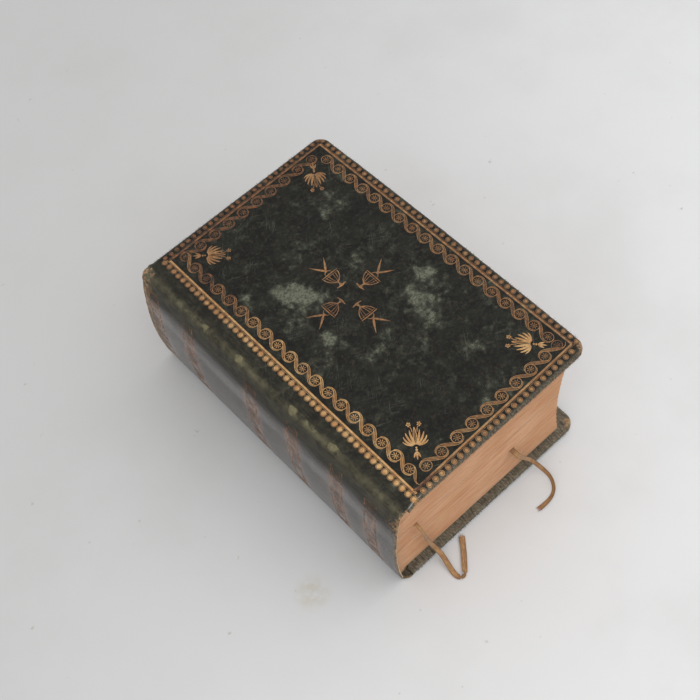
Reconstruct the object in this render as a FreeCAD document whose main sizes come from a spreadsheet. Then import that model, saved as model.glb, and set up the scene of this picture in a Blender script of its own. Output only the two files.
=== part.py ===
import FreeCAD, Part
import math
import os
import re
import Sketcher

# A small, thick prayer book in full leather, lying on its back cover, in millimetres.
# +X runs from the spine to the fore-edge, +Y from the tail to the head and +Z from the back cover to
# the front cover. The origin is on the resting plane, under the middle of the closed book.

DRIVING = {
    # the closed book
    "book_height": 150.0,        # tail to head over the covers
    "book_width": 101.3,         # spine crown to fore-edge
    "book_thickness": 62.2,      # over both covers
    # covers
    "cover_leather": 0.7,
    "board": 2.6,
    "turn_in": 0.4,              # thickness of the leather folded over the inside of a board
    "turn_in_width": 11.0,
    "corner_radius": 3.5,
    "shoulder_width": 3.3,       # end of the rounded spine to the line that a cover turns on
    "joint_gap": 0.4,            # bend of the joint leather, left open between the rigid skins
    "board_setback": 1.2,        # joint line to the spine edge of a board
    # paper
    "paste_sheet": 0.3,
    "flyleaf": 0.3,
    "flyleaf_setback": 0.5,      # joint line to the hinged edge of a flyleaf
    "leaf_gap": 0.15,
    "tail_square": 3.5,          # how far the covers stand out past the leaves at head and tail
    "leaf_width": 88.6,          # folded width of every section
    "section_count": 24.0,
    "upper_section_count": 10.0,  # sections above the place where the book opens
    "section_gap": 0.1,
    "section_fold_radius": 0.7,
    # spine
    "spine_radius": 140.0,       # rounding of the spine, at the outside of its leather
    "spine_leather": 0.9,
    "spine_lining": 0.5,
    "lining_gap": 0.15,
    "shoulder_radius": 3.2,      # outside of the leather where the spine turns on to a cover
    "shoulder_gap": 0.3,         # shoulder of the outer sections to the leather over it
    "shoulder_start": 1.5,       # fold of the outer sections to their shoulder
    "shoulder_inset": 0.3,       # shoulder of the outer sections to the joint line
    # sewing
    "support_count": 4.0,
    "support_diameter": 1.2,
    "kettle_diameter": 0.6,
    "kettle_inset": 12.0,        # leaf end to the end stitches
    "kerf_depth": 2.2,
    "kerf_clearance": 0.15,
    # ribbon markers
    "ribbon_width": 2.2,
    "ribbon_thickness": 0.25,
    "ribbon_gap": 0.4,
    "lower_ribbon_section": 15.0,  # the lower marker lies under this section
    "ribbon_anchor_inset": 4.0,  # spine fold to the anchored ends of the markers
}

# Places that follow from the sizes above, as formulas of the same spreadsheet.
DERIVED = {
    "fore_x": "=book_width / 2",
    "crown_x": "=-book_width / 2",
    "spine_centre_x": "=crown_x + spine_radius",
    "middle_z": "=book_thickness / 2",
    "joint_x": "=spine_centre_x - sqrt(spine_radius * spine_radius - middle_z * middle_z) + shoulder_width",
    "board_x": "=joint_x + board_setback",
    "skin": "=cover_leather + board + turn_in",
    "leaf_height": "=book_height - 2 * tail_square",
    "fold_radius": "=spine_radius - spine_leather - spine_lining - 2 * lining_gap",
    "lining_radius": "=spine_radius - spine_leather - lining_gap",
    "fold_crown_x": "=spine_centre_x - fold_radius",
    "text_low": "=skin + flyleaf + 2 * leaf_gap",
    "text_high": "=book_thickness - text_low",
    "section_pitch": "=(text_high - text_low) / section_count",
    "opening_z": "=text_high - upper_section_count * section_pitch",
    "lower_ribbon_z": "=text_high - lower_ribbon_section * section_pitch",
    "upper_half_low": "=opening_z + section_gap",
    "lower_half_high": "=opening_z - ribbon_gap",
    "back_face_z": "=0",
    "front_face_z": "=book_thickness",
    "stitch_pitch": "=(leaf_height - 2 * kettle_inset) / (support_count + 1)",
    "kerf_width": "=support_diameter + 2 * kerf_clearance",
}

ON_LINE = 0.01         # an edge this near to a line or level lies on it
ARC_SHARE = 0.45       # share of the shorter run beside a corner of a marker's route that its arc takes
VOLUME_ERROR = 0.02    # largest share by which a marker's tube may miss the volume of its path

# Free tails of the two markers, from the tail edge of the leaves to their cut ends on the table.
UPPER_TAIL = [
    (-37.4, -71.5, 35.4), (-37.4, -73.4, 35.4), (-37.4, -74.86, 34.2), (-37.0, -75.4, 31.6),
    (-35.8, -75.0, 26.6), (-33.9, -74.5, 18.8), (-31.9, -74.6, 11.0), (-30.3, -75.6, 5.8),
    (-29.9, -77.9, 3.7), (-30.3, -81.0, 2.3), (-30.9, -83.9, 1.5), (-31.4, -86.4, 1.2),
    (-30.64, -87.92, 1.2), (-29.11, -88.67, 1.2), (-27.44, -88.35, 1.2), (-25.4, -86.1, 1.2),
    (-22.3, -82.1, 1.2), (-18.2, -76.9, 1.2),
]
LOWER_TAIL = [
    (14.0, -71.5, 24.25), (14.0, -73.4, 24.25), (14.3, -74.85, 23.05), (15.6, -75.3, 20.7),
    (18.2, -75.2, 16.0), (21.6, -75.1, 10.0), (23.7, -76.0, 5.6), (25.0, -79.4, 3.5),
    (25.4, -84.0, 1.9), (22.6, -88.5, 1.25), (17.6, -90.3, 1.2), (12.4, -89.8, 1.2),
]


doc = FreeCAD.newDocument("prayer_book")
sheet = doc.addObject("Spreadsheet::Sheet", "dims")
for row, (alias, value) in enumerate((DRIVING | DERIVED).items(), start=1):
    sheet.set(f"A{row}", alias)
    sheet.set(f"B{row}", str(value))
    sheet.setAlias(f"B{row}", alias)
doc.recompute()


def size(alias):
    """The value of a cell, for shapes that are set in code."""
    return float(sheet.get(alias))


def bound(formula):
    """The formula with every alias in it read from the spreadsheet."""
    return re.sub(r"[a-z]\w*", lambda word: "dims." + word.group()
                  if word.group() in DRIVING or word.group() in DERIVED else word.group(), str(formula))


def bind(thing, **formulas):
    """Binds properties of an object to formulas of the spreadsheet's aliases."""
    for name, formula in formulas.items():
        thing.setExpression(name, bound(formula))


def new_body(label):
    body = doc.addObject("PartDesign::Body", label)
    body.Label = label
    return body


def new_sketch(body, name, plane, level="0"):
    """An empty sketch on one of the body's origin planes, moved along its normal to the level."""
    sketch = body.newObject("Sketcher::SketchObject", f"{body.Label}_{name}")
    origin_plane = next(feature for feature in body.Origin.OriginFeatures if feature.Role == plane)
    sketch.AttachmentSupport = [(origin_plane, "")]
    sketch.MapMode = "FlatFace"
    sketch.setExpression("AttachmentOffset.Base.z", bound(level))
    return sketch


def place(sketch, geometry, point, across, up):
    """Fixes one end of a sketch line by its distances from the origin."""
    for kind, formula in (("DistanceX", across), ("DistanceY", up)):
        if formula is not None:
            number = sketch.addConstraint(Sketcher.Constraint(kind, geometry, point, 1.0))
            sketch.setExpression(f"Constraints[{number}]", bound(formula))


def outline(sketch, corners):
    """A closed outline of straight lines through the corners, each corner bound to its two formulas."""
    count = len(corners)
    turn = 2 * math.pi / count
    ring = [FreeCAD.Vector(math.cos(step * turn), math.sin(step * turn), 0) for step in range(count)]
    for step in range(count):
        sketch.addGeometry(Part.LineSegment(ring[step], ring[(step + 1) % count]), False)
    for step, (across, up) in enumerate(corners):
        sketch.addConstraint(Sketcher.Constraint("Coincident", step, 1, (step - 1) % count, 2))
        place(sketch, step, 1, across, up)


def rectangle(sketch, west, east, south, north):
    outline(sketch, [(west, south), (east, south), (east, north), (west, north)])


def pad(body, name, sketch, length, symmetric=False):
    """A pad along the sketch's normal, or to both sides of it."""
    feature = body.newObject("PartDesign::Pad", f"{body.Label}_{name}")
    feature.Profile = sketch
    feature.SideType = "Symmetric" if symmetric else "One side"
    bind(feature, Length=length)
    doc.recompute()
    return feature


def pocket(body, name, sketch, length, symmetric=False, reverse=False):
    """A pocket that must remove material."""
    before = body.Shape.Volume
    feature = body.newObject("PartDesign::Pocket", f"{body.Label}_{name}")
    feature.Profile = sketch
    feature.SideType = "Symmetric" if symmetric else "One side"
    feature.Reversed = reverse
    bind(feature, Length=length)
    doc.recompute()
    if body.Shape.Volume >= before:
        raise ValueError(f"{feature.Name} cuts nothing")
    return feature


def upright(way):
    """Whether an edge's direction is nearer to Z than to the other axes together."""
    return abs(way.z) > abs(way.x) + abs(way.y)


def lengthwise(way):
    """Whether an edge's direction is nearer to Y than to the other axes together."""
    return abs(way.y) > abs(way.x) + abs(way.z)


def fillet(body, name, radius, chosen):
    """Rounds the edges of the body's tip whose middle point and direction pass the test."""
    tip = body.Tip
    names = [f"Edge{number}" for number, edge in enumerate(tip.Shape.Edges, start=1)
             if len(edge.Vertexes) == 2 and chosen(edge.CenterOfMass, edge.tangentAt(edge.FirstParameter))]
    if not names:
        raise ValueError(f"{body.Label}: no edge for {name}")
    feature = body.newObject("PartDesign::Fillet", f"{body.Label}_{name}")
    feature.Base = (tip, names)
    bind(feature, Radius=radius)
    doc.recompute()
    if not feature.isValid():
        raise ValueError(f"{feature.Name} failed")
    return feature


def slab(label, west, east, half_length, low, thickness):
    """A flat sheet or board, centred on Y, with its lower face at the level low."""
    body = new_body(label)
    sketch = new_sketch(body, "plan", "XY_Plane", low)
    rectangle(sketch, west, east, f"-({half_length})", half_length)
    pad(body, "sheet", sketch, thickness)
    return body


def round_fore_corners(body, radius):
    """Rounds the two upright edges at the fore-edge."""
    east = body.Shape.BoundBox.XMax
    fillet(body, "corners", radius, lambda middle, way: upright(way) and middle.x > east - ON_LINE)


def cover(side, low, board_low, turn_in_low, paste_low):
    """The board, the leather turned in over three of its edges, and the pastedown of one cover."""
    board = slab(f"{side}_board", "board_x", "fore_x - cover_leather", "book_height / 2 - cover_leather",
                 board_low, "board")
    round_fore_corners(board, "corner_radius - cover_leather")

    leather = slab(f"{side}_cover_leather", "joint_x + joint_gap / 2", "fore_x", "book_height / 2", low, "skin")
    space = new_sketch(leather, "board_plan", "XY_Plane", board_low)
    rectangle(space, "crown_x", "fore_x - cover_leather",
              "cover_leather - book_height / 2", "book_height / 2 - cover_leather")
    pocket(leather, "board_space", space, "board", reverse=True)
    space_end = size("fore_x") - size("cover_leather")
    fillet(leather, "space_corners", "corner_radius - cover_leather",
           lambda middle, way: upright(way) and abs(middle.x - space_end) < ON_LINE)
    round_fore_corners(leather, "corner_radius")
    window_end = "fore_x - cover_leather - turn_in_width"
    window_half = "(book_height / 2 - cover_leather - turn_in_width)"
    window = new_sketch(leather, "window_plan", "XY_Plane", turn_in_low)
    rectangle(window, "crown_x", window_end, f"-{window_half}", window_half)
    pocket(leather, "window", window, "turn_in", reverse=True)

    slab(f"{side}_pastedown", "board_x", window_end, window_half, paste_low, "paste_sheet")


def fold_x(level):
    """Where the rounded line of the folds lies at a level."""
    rise = f"({level} - middle_z)"
    return f"(spine_centre_x - sqrt(fold_radius * fold_radius - {rise} * {rise}))"


def section(number):
    """One folded and sewn section of leaves, counted from the front, with its sawn kerfs.
    The first and the last are backed over into a shoulder beside the board."""
    body = new_body(f"section_{number:02d}")
    under_ribbon = number - 1 in (size("upper_section_count"), size("lower_ribbon_section"))
    high = f"text_high - {number - 1} * section_pitch" + (" - ribbon_gap" if under_ribbon else "")
    low = f"text_high - {number} * section_pitch + section_gap"
    west = fold_x(f"text_high - {number - 0.5} * section_pitch")
    profile = new_sketch(body, "profile", "XZ_Plane")
    rectangle(profile, west, f"{west} + leaf_width", low, high)
    pad(body, "leaves", profile, "leaf_height", symmetric=True)
    fold = body.Shape.BoundBox.XMin
    fillet(body, "fold", "section_fold_radius",
           lambda middle, way: lengthwise(way) and middle.x < fold + ON_LINE)

    if number in (1, size("section_count")):
        foot = "text_high - section_pitch / 2" if number == 1 else "text_low + section_pitch / 2"
        cover_gap = "(spine_leather + shoulder_gap)"
        top = f"front_face_z - {cover_gap}" if number == 1 else f"back_face_z + {cover_gap}"
        shoulder = new_sketch(body, "shoulder_profile", "XZ_Plane")
        rectangle(shoulder, f"{west} + shoulder_start", "joint_x - shoulder_inset", foot, top)
        pad(body, "shoulder", shoulder, "leaf_height", symmetric=True)

    kerf = new_sketch(body, "kerf_plan", "XY_Plane")
    end = "kettle_inset - leaf_height / 2"
    rectangle(kerf, "crown_x", f"{west} + kerf_depth", f"{end} - kerf_width / 2", f"{end} + kerf_width / 2")
    cut = pocket(body, "kerf", kerf, "book_thickness", reverse=True)
    pattern = body.newObject("PartDesign::LinearPattern", f"{body.Label}_kerfs")
    pattern.Originals = [cut]
    pattern.Direction = (kerf, ["V_Axis"])
    bind(pattern, Length="leaf_height - 2 * kettle_inset", Occurrences="support_count + 2")
    body.Tip = pattern
    doc.recompute()


def band(body, radius, thickness, low, high, half_length):
    """A strip of the rounded spine between two levels, its outside at the radius."""
    centre = FreeCAD.Vector(size("spine_centre_x"), size("middle_z"), 0)
    sketch = new_sketch(body, "band", "XZ_Plane")
    for reach in (size(radius), size(radius) - size(thickness)):
        start, end = (math.pi - math.asin((size(level) - centre.y) / reach) for level in (high, low))
        circle = Part.Circle(centre, FreeCAD.Vector(0, 0, 1), reach)
        sketch.addGeometry(Part.ArcOfCircle(circle, start, end), False)
    outer, inner, roof, floor = range(4)
    for arc_end in (1, 2):
        points = [sketch.getPoint(arc, arc_end) for arc in (outer, inner)]
        sketch.addGeometry(Part.LineSegment(*points), False)
    for line, arc_end in ((roof, 1), (floor, 2)):
        sketch.addConstraint(Sketcher.Constraint("Coincident", outer, arc_end, line, 1))
        sketch.addConstraint(Sketcher.Constraint("Coincident", inner, arc_end, line, 2))
        sketch.addConstraint(Sketcher.Constraint("Horizontal", line))
    sketch.addConstraint(Sketcher.Constraint("Coincident", outer, 3, inner, 3))
    place(sketch, outer, 3, "spine_centre_x", "middle_z")
    place(sketch, outer, 1, None, high)
    place(sketch, outer, 2, None, low)
    for arc, formula in ((outer, radius), (inner, f"{radius} - {thickness}")):
        number = sketch.addConstraint(Sketcher.Constraint("Radius", arc, sketch.Geometry[arc].Radius))
        sketch.setExpression(f"Constraints[{number}]", bound(formula))
    pad(body, "strip", sketch, f"2 * ({half_length})", symmetric=True)


def spine_leather(half, low, high, face, inward):
    """Half of the spine leather: the rounded back, and the shoulder that reaches a cover's joint.
    face is the outer face of that cover, and inward is 1 or -1, the way into the book from it."""
    body = new_body(f"spine_leather_{half}")
    band(body, "spine_radius", "spine_leather", low, high, "book_height / 2")
    inner_face = f"({face} + {inward} * spine_leather)"
    rise = f"({inner_face} - middle_z)"
    inner_radius = "(spine_radius - spine_leather)"
    inner_x = f"spine_centre_x - sqrt({inner_radius} * {inner_radius} - {rise} * {rise})"
    reach = new_sketch(body, "reach", "XZ_Plane")
    rectangle(reach, inner_x, "joint_x - joint_gap / 2", inner_face, face)
    pad(body, "shoulder", reach, "book_height", symmetric=True)
    west_limit = size("joint_x") - size("joint_gap")
    for name, level, radius in (("outer_turn", size(face), "shoulder_radius"),
                                ("inner_turn", size(face) + inward * size("spine_leather"),
                                 "shoulder_radius - spine_leather")):
        fillet(body, name, radius, lambda middle, way: lengthwise(way) and middle.x < west_limit
               and abs(middle.z - level) < ON_LINE)


def spine_lining(half, low, high):
    """Half of the lining glued over the folds, inside the leather."""
    body = new_body(f"spine_lining_{half}")
    band(body, "lining_radius", "spine_lining", low, high, "leaf_height / 2")


def stitch_line(name, diameter, station, clip):
    """A support or thread that runs down the kerfs at one station, clipped to one half of the book."""
    ring = doc.addObject("Part::Torus", f"{name}_ring")
    bind(ring, Radius1=f"fold_radius - kerf_clearance - {diameter} / 2", Radius2=f"{diameter} / 2")
    ring.Placement.Rotation = FreeCAD.Rotation(FreeCAD.Vector(1, 0, 0), -90)
    bind(ring, **{"Placement.Base.x": "spine_centre_x", "Placement.Base.z": "middle_z",
                  "Placement.Base.y": f"kettle_inset - leaf_height / 2 + {station} * stitch_pitch"})
    line = doc.addObject("Part::Common", name)
    line.Base = ring
    line.Tool = clip
    return line


def sewing(half, low, high):
    """The cords that the sections of one half are sewn on, and its two rows of end stitches."""
    clip = doc.addObject("Part::Box", f"{half}_sewing_limit")
    bind(clip, Length="joint_x - crown_x", Width="leaf_height", Height=f"{high} - {low}",
         **{"Placement.Base.x": "crown_x", "Placement.Base.y": "-leaf_height / 2", "Placement.Base.z": low})
    last = int(size("support_count")) + 1
    for label, diameter, stations in ((f"sewing_cords_{half}", "support_diameter", range(1, last)),
                                      (f"end_stitches_{half}", "kettle_diameter", (0, last))):
        group = doc.addObject("Part::Compound", label)
        group.Links = [stitch_line(f"{label}_{station}", diameter, station, clip) for station in stations]


def ribbon_strip(label, level, exit_x):
    """The flat length of a marker between two sections, from the spine at the head to the tail edge."""
    body = new_body(label)
    sketch = new_sketch(body, "plan", "XY_Plane", f"{level} - (ribbon_gap + ribbon_thickness) / 2")
    start_x = "(fold_crown_x + ribbon_anchor_inset)"
    half = "ribbon_width / 2"
    outline(sketch, [(f"{exit_x} - {half}", "-leaf_height / 2"), (f"{exit_x} + {half}", "-leaf_height / 2"),
                     (f"{start_x} + {half}", "leaf_height / 2"), (f"{start_x} - {half}", "leaf_height / 2")])
    pad(body, "strip", sketch, "ribbon_thickness")


def ribbon_tail(label, route):
    """The free end of a marker: a round tube along straight runs joined by tangent arcs."""
    radius = size("ribbon_width") / 2
    points = [FreeCAD.Vector(*point) for point in route]
    edges = []
    start = points[0]
    bends = []
    for before, corner, after in zip(points, points[1:], points[2:]):
        way_in, way_out = (corner - before).normalize(), (after - corner).normalize()
        half_turn = way_in.getAngle(way_out) / 2
        setback = ARC_SHARE * min((corner - before).Length, (after - corner).Length)
        bends.append(setback / math.tan(half_turn))
        arc_start, arc_end = corner - way_in * setback, corner + way_out * setback
        sag = bends[-1] * (1 / math.cos(half_turn) - 1)
        middle = corner + (way_out - way_in).normalize() * sag
        edges.append(Part.LineSegment(start, arc_start).toShape())
        edges.append(Part.Arc(arc_start, middle, arc_end).toShape())
        start = arc_end
    edges.append(Part.LineSegment(start, points[-1]).toShape())
    path = Part.Wire(edges)
    section_circle = Part.Wire(Part.makeCircle(radius, points[0], points[1] - points[0]))
    tube = path.makePipeShell([section_circle], True, False, 1)
    expected = math.pi * radius ** 2 * path.Length
    print(f"{label}: length {path.Length:.1f}, radii", [round(bend, 1) for bend in bends],
          f"volume {tube.Volume:.1f} of {expected:.1f}")
    if abs(tube.Volume / expected - 1) > VOLUME_ERROR:
        raise ValueError(f"{label}: the tube doesn't follow its path")
    tail = doc.addObject("Part::Feature", label)
    tail.Label = label
    tail.Shape = tube


doc.recompute()
cover("front", "front_face_z - skin", "front_face_z - skin + turn_in", "front_face_z - skin",
      "front_face_z - skin + turn_in - paste_sheet")
cover("back", "back_face_z", "cover_leather", "cover_leather + board", "cover_leather + board")
for number in range(1, int(size("section_count")) + 1):
    section(number)
outer_fore_edge = f"{fold_x('text_high')} + leaf_width"
flyleaf_edges = ("joint_x + flyleaf_setback", outer_fore_edge, "leaf_height / 2")
slab("front_flyleaf", *flyleaf_edges, "text_high + leaf_gap", "flyleaf")
slab("back_flyleaf", *flyleaf_edges, "text_low - leaf_gap - flyleaf", "flyleaf")
spine_leather("upper", "upper_half_low", "front_face_z", "front_face_z", -1)
spine_leather("lower", "back_face_z", "lower_half_high", "back_face_z", 1)
spine_lining("upper", "upper_half_low", "text_high")
spine_lining("lower", "text_low", "lower_half_high")
sewing("upper", "upper_half_low", "text_high")
sewing("lower", "text_low", "lower_half_high")
ribbon_strip("upper_ribbon_strip", "opening_z", UPPER_TAIL[0][0])
ribbon_strip("lower_ribbon_strip", "lower_ribbon_z", LOWER_TAIL[0][0])
ribbon_tail("upper_ribbon_tail", UPPER_TAIL)
ribbon_tail("lower_ribbon_tail", LOWER_TAIL)
doc.recompute()

failed = [thing.Name for thing in doc.Objects if {"Invalid", "Error"} & set(thing.State)]
if failed:
    raise ValueError(f"failed: {failed}")
used = {part for thing in doc.Objects if thing.isDerivedFrom("Part::Feature") for part in thing.OutList}
parts = [thing for thing in doc.Objects if thing.TypeId in
         ("PartDesign::Body", "Part::Compound") or thing.TypeId == "Part::Feature" and thing not in used]
os.makedirs("parts", exist_ok=True)
for part in parts:
    if part.Shape.isNull() or not part.Shape.isValid():
        raise ValueError(f"{part.Label}: bad shape")
    part.Shape.exportStep(f"parts/{part.Label}.step")
    box = part.Shape.BoundBox
    print(f"{part.Label}: {len(part.Shape.Solids)} solids, {part.Shape.Volume:.0f} mm3, "
          f"x {box.XMin:.2f}..{box.XMax:.2f}, y {box.YMin:.2f}..{box.YMax:.2f}, z {box.ZMin:.2f}..{box.ZMax:.2f}")
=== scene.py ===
import math
import random
import bmesh
import bpy
import numpy as np
from mathutils import Matrix, Vector, noise


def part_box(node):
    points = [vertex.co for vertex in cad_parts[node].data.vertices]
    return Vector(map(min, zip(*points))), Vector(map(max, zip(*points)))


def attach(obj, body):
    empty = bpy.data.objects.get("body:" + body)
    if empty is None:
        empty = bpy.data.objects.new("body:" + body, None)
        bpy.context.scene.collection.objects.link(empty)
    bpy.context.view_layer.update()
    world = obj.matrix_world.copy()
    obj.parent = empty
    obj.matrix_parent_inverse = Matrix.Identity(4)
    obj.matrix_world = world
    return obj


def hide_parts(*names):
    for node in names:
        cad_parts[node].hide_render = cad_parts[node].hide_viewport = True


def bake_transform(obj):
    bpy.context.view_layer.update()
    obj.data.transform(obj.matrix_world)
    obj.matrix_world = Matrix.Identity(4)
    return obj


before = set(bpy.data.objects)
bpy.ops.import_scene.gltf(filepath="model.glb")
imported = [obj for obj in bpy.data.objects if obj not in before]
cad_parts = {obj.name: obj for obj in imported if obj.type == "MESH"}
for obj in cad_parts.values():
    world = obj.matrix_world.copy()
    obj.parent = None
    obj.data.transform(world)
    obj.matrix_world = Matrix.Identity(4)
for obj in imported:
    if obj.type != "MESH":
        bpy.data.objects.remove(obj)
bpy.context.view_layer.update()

# A small, thick prayer book in full leather, lying on its back cover, in metres.
# +X runs from the spine to the fore-edge, +Y from the tail to the head and +Z from the back cover
# to the front cover. Lengths inside the sections are in millimetres where they end in _mm or say so.

# Camera. It stands high over the tail end of the spine, a little rolled, so that the front cover,
# the spine and the tail edge of the leaves all show.
camera = bpy.data.objects.new("camera", bpy.data.cameras.new("camera"))
bpy.context.scene.collection.objects.link(camera)
bpy.context.scene.camera = camera
camera.data.lens = 63.57
camera.data.sensor_width = 36.0
aim = Vector((-0.00237, 0.00245, 0.03109))
azimuth, elevation, roll = (math.radians(angle) for angle in (-36.33, 58.42, -7.34))
back = Vector((math.sin(azimuth) * math.cos(elevation), -math.cos(azimuth) * math.cos(elevation),
               math.sin(elevation)))
level_right = (-back).cross(Vector((0, 0, 1))).normalized()
level_up = level_right.cross(-back)
right = level_right * math.cos(roll) + level_up * math.sin(roll)
up = level_up * math.cos(roll) - level_right * math.sin(roll)
distance = 0.4983
turned_to = Matrix((right, up, back)).transposed().to_4x4()
camera.matrix_world = Matrix.Translation(aim + back * distance) @ turned_to


# Leaves. Twenty-four folded and sewn sections of rag paper, cut at head, tail and fore-edge and then
# coloured on the cut edges. Each is built as the small packets that its leaves fall into, every
# packet a little longer or shorter than the next, and folded round at the spine.
def new_piece(name, points_mm, faces, smooth=True):
    """A mesh object from points in millimetres."""
    mesh = bpy.data.meshes.new(name)
    mesh.from_pydata((np.asarray(points_mm, float) * 0.001).tolist(), [], faces)
    mesh.validate()
    form = bmesh.new()
    form.from_mesh(mesh)
    bmesh.ops.recalc_face_normals(form, faces=form.faces)
    form.to_mesh(mesh)
    form.free()
    mesh.update()
    mesh.polygons.foreach_set("use_smooth", [smooth] * len(mesh.polygons))
    piece = bpy.data.objects.new(name, mesh)
    bpy.context.scene.collection.objects.link(piece)
    return piece


def box_mm(node_name):
    """The low and the high corner of a solid's box, in millimetres."""
    return [[value * 1000 for value in corner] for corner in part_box(node_name)]


def grid_faces(rows, columns, ring=False, start=0):
    """Quads between rows of points, each row a ring or an open line."""
    last = columns if ring else columns - 1
    return [(start + row * columns + column, start + row * columns + (column + 1) % columns,
             start + (row + 1) * columns + (column + 1) % columns, start + (row + 1) * columns + column)
            for row in range(rows - 1) for column in range(last)]


def add(tree, kind, links=None, **settings):
    """A shader node, its settings set and its sockets filled from values or from other sockets."""
    made = tree.nodes.new(kind)
    for name, value in settings.items():
        setattr(made, name, value)
    for socket, value in (links or {}).items():
        if isinstance(value, bpy.types.NodeSocket):
            tree.links.new(value, made.inputs[socket])
        else:
            made.inputs[socket].default_value = value
    return made


def maths(tree, operation, *values):
    return add(tree, "ShaderNodeMath", dict(enumerate(values)), operation=operation).outputs[0]


def times(tree, *values):
    return maths(tree, "MULTIPLY", *values)


def plus(tree, *values):
    return maths(tree, "ADD", *values)


def minus(tree, *values):
    return maths(tree, "SUBTRACT", *values)


def mixed(tree, share, first, second):
    """One colour laid over another by a mask."""
    colours = [value if isinstance(value, bpy.types.NodeSocket) else (*value, 1.0)
               for value in (first, second)]
    made = add(tree, "ShaderNodeMix", {0: share, 6: colours[0], 7: colours[1]}, data_type="RGBA")
    return made.outputs[2]


def cloudy(tree, place, scale, detail, roughness=0.5):
    """Cloudy noise over a piece, from 0 to 1."""
    return add(tree, "ShaderNodeTexNoise", {"Vector": place, "Scale": scale, "Detail": detail,
                                            "Roughness": roughness}).outputs["Fac"]


def span(tree, value, low, high, out_low=0.0, out_high=1.0):
    """A value eased from one range to another."""
    made = add(tree, "ShaderNodeMapRange", {"Value": value, "From Min": low, "From Max": high,
                                            "To Min": out_low, "To Max": out_high},
               interpolation_type="SMOOTHSTEP")
    return made.outputs[0]


def new_group(name, inputs, output, output_kind="NodeSocketFloat"):
    """An empty shader group: its tree, its inputs and its output node."""
    tree = bpy.data.node_groups.new(name, "ShaderNodeTree")
    for label, kind, value in inputs:
        socket = tree.interface.new_socket(name=label, in_out="INPUT", socket_type=kind)
        if value is not None:
            socket.default_value = value
    tree.interface.new_socket(name=output, in_out="OUTPUT", socket_type=output_kind)
    return tree, tree.nodes.new("NodeGroupInput").outputs, tree.nodes.new("NodeGroupOutput").inputs


def use(tree, group, **inputs):
    """The output of a shader group placed in a material with its own values."""
    made = add(tree, "ShaderNodeGroup", node_tree=group)
    for name, value in inputs.items():
        socket = made.inputs[name.replace("_", " ")]
        if isinstance(value, bpy.types.NodeSocket):
            tree.links.new(value, socket)
        else:
            socket.default_value = value
    return made.outputs[0]


# Soft patches of tone, such as foxing, dirt, rubbed hide or lost gold.
patches, given, out = new_group("patches", [
    ("Place", "NodeSocketVector", None), ("Scale", "NodeSocketFloat", 1.0),
    ("Low", "NodeSocketFloat", 0.45), ("High", "NodeSocketFloat", 0.6)], "Mask")
cloud = cloudy(patches, given["Place"], given["Scale"], 5.0, 0.62)
patches.links.new(span(patches, cloud, given["Low"], given["High"]), out["Mask"])


def new_material(name, rest=False):
    """A material, its tree, its shader and the place on the piece in millimetres.
    A piece that bends carries its place at rest as an attribute."""
    material = bpy.data.materials.new(name)
    material.use_nodes = True
    tree = material.node_tree
    tree.nodes.clear()
    shader = add(tree, "ShaderNodeBsdfPrincipled")
    add(tree, "ShaderNodeOutputMaterial", {"Surface": shader.outputs[0]})
    if rest:
        place = add(tree, "ShaderNodeAttribute", attribute_name="rest").outputs["Vector"]
    else:
        place = add(tree, "ShaderNodeTexCoord").outputs["Object"]
    place = add(tree, "ShaderNodeVectorMath", {0: place, 1: (1000.0, 1000.0, 1000.0)},
                operation="MULTIPLY").outputs[0]
    return material, tree, shader, place


def set_bump(tree, shader, height, distance, strength=1.0):
    bump = add(tree, "ShaderNodeBump", {"Height": height, "Distance": distance, "Strength": strength})
    tree.links.new(bump.outputs[0], shader.inputs["Normal"])


def stretched(tree, place, scale):
    return add(tree, "ShaderNodeVectorMath", {0: place, 1: scale}, operation="MULTIPLY").outputs[0]


def paint(piece, name, values):
    """A float on every vertex of a piece, for its material."""
    attribute = piece.data.attributes.new(name, "FLOAT", "POINT")
    attribute.data.foreach_set("value", np.asarray(values, np.float32))


def painted(tree, name):
    return add(tree, "ShaderNodeAttribute", attribute_name=name).outputs["Fac"]


leaf_paper, tree, shader, place = new_material("leaf_paper")
edge_lines = cloudy(tree, stretched(tree, place, (0.02, 0.02, 5.5)), 1.0, 3.0, 0.7)
stain_place, fade_place = (stretched(tree, place, scale) for scale in ((0.5, 0.5, 1.0), (0.3, 0.3, 1.6)))
edge_stain = use(tree, patches, Place=stain_place, Scale=0.09, Low=0.35, High=0.66)
edge_fade = use(tree, patches, Place=fade_place, Scale=0.22, Low=0.42, High=0.72)
edge_colour = mixed(tree, edge_stain, (0.524, 0.292, 0.157), (0.585, 0.346, 0.207))
edge_colour = mixed(tree, edge_fade, edge_colour, (0.500, 0.246, 0.128))
edge_colour = mixed(tree, span(tree, edge_lines, 0.28, 0.54, 0.25, 0.0), edge_colour, (0.36, 0.185, 0.098))
edge_colour = mixed(tree, span(tree, edge_lines, 0.58, 0.78, 0.0, 0.26), edge_colour, (0.67, 0.45, 0.29))
foxing = use(tree, patches, Place=place, Scale=0.11, Low=0.56, High=0.78)
page_colour = mixed(tree, foxing, (0.69, 0.585, 0.41), (0.50, 0.34, 0.18))
tree.links.new(mixed(tree, painted(tree, "page"), edge_colour, page_colour), shader.inputs["Base Color"])
shader.inputs["Roughness"].default_value = 0.82
shader.inputs["Specular IOR Level"].default_value = 0.25
set_bump(tree, shader, edge_lines, 0.00012, 0.3)

packets_per_section = 7
fold_radius_mm = 0.7
sections = 24
upper_sections = 10
shouldered_mm = 2.1333
unevenness_mm = 0.11
outer_leaf_short_mm = 0.12
groove_mm = 0.09


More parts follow.
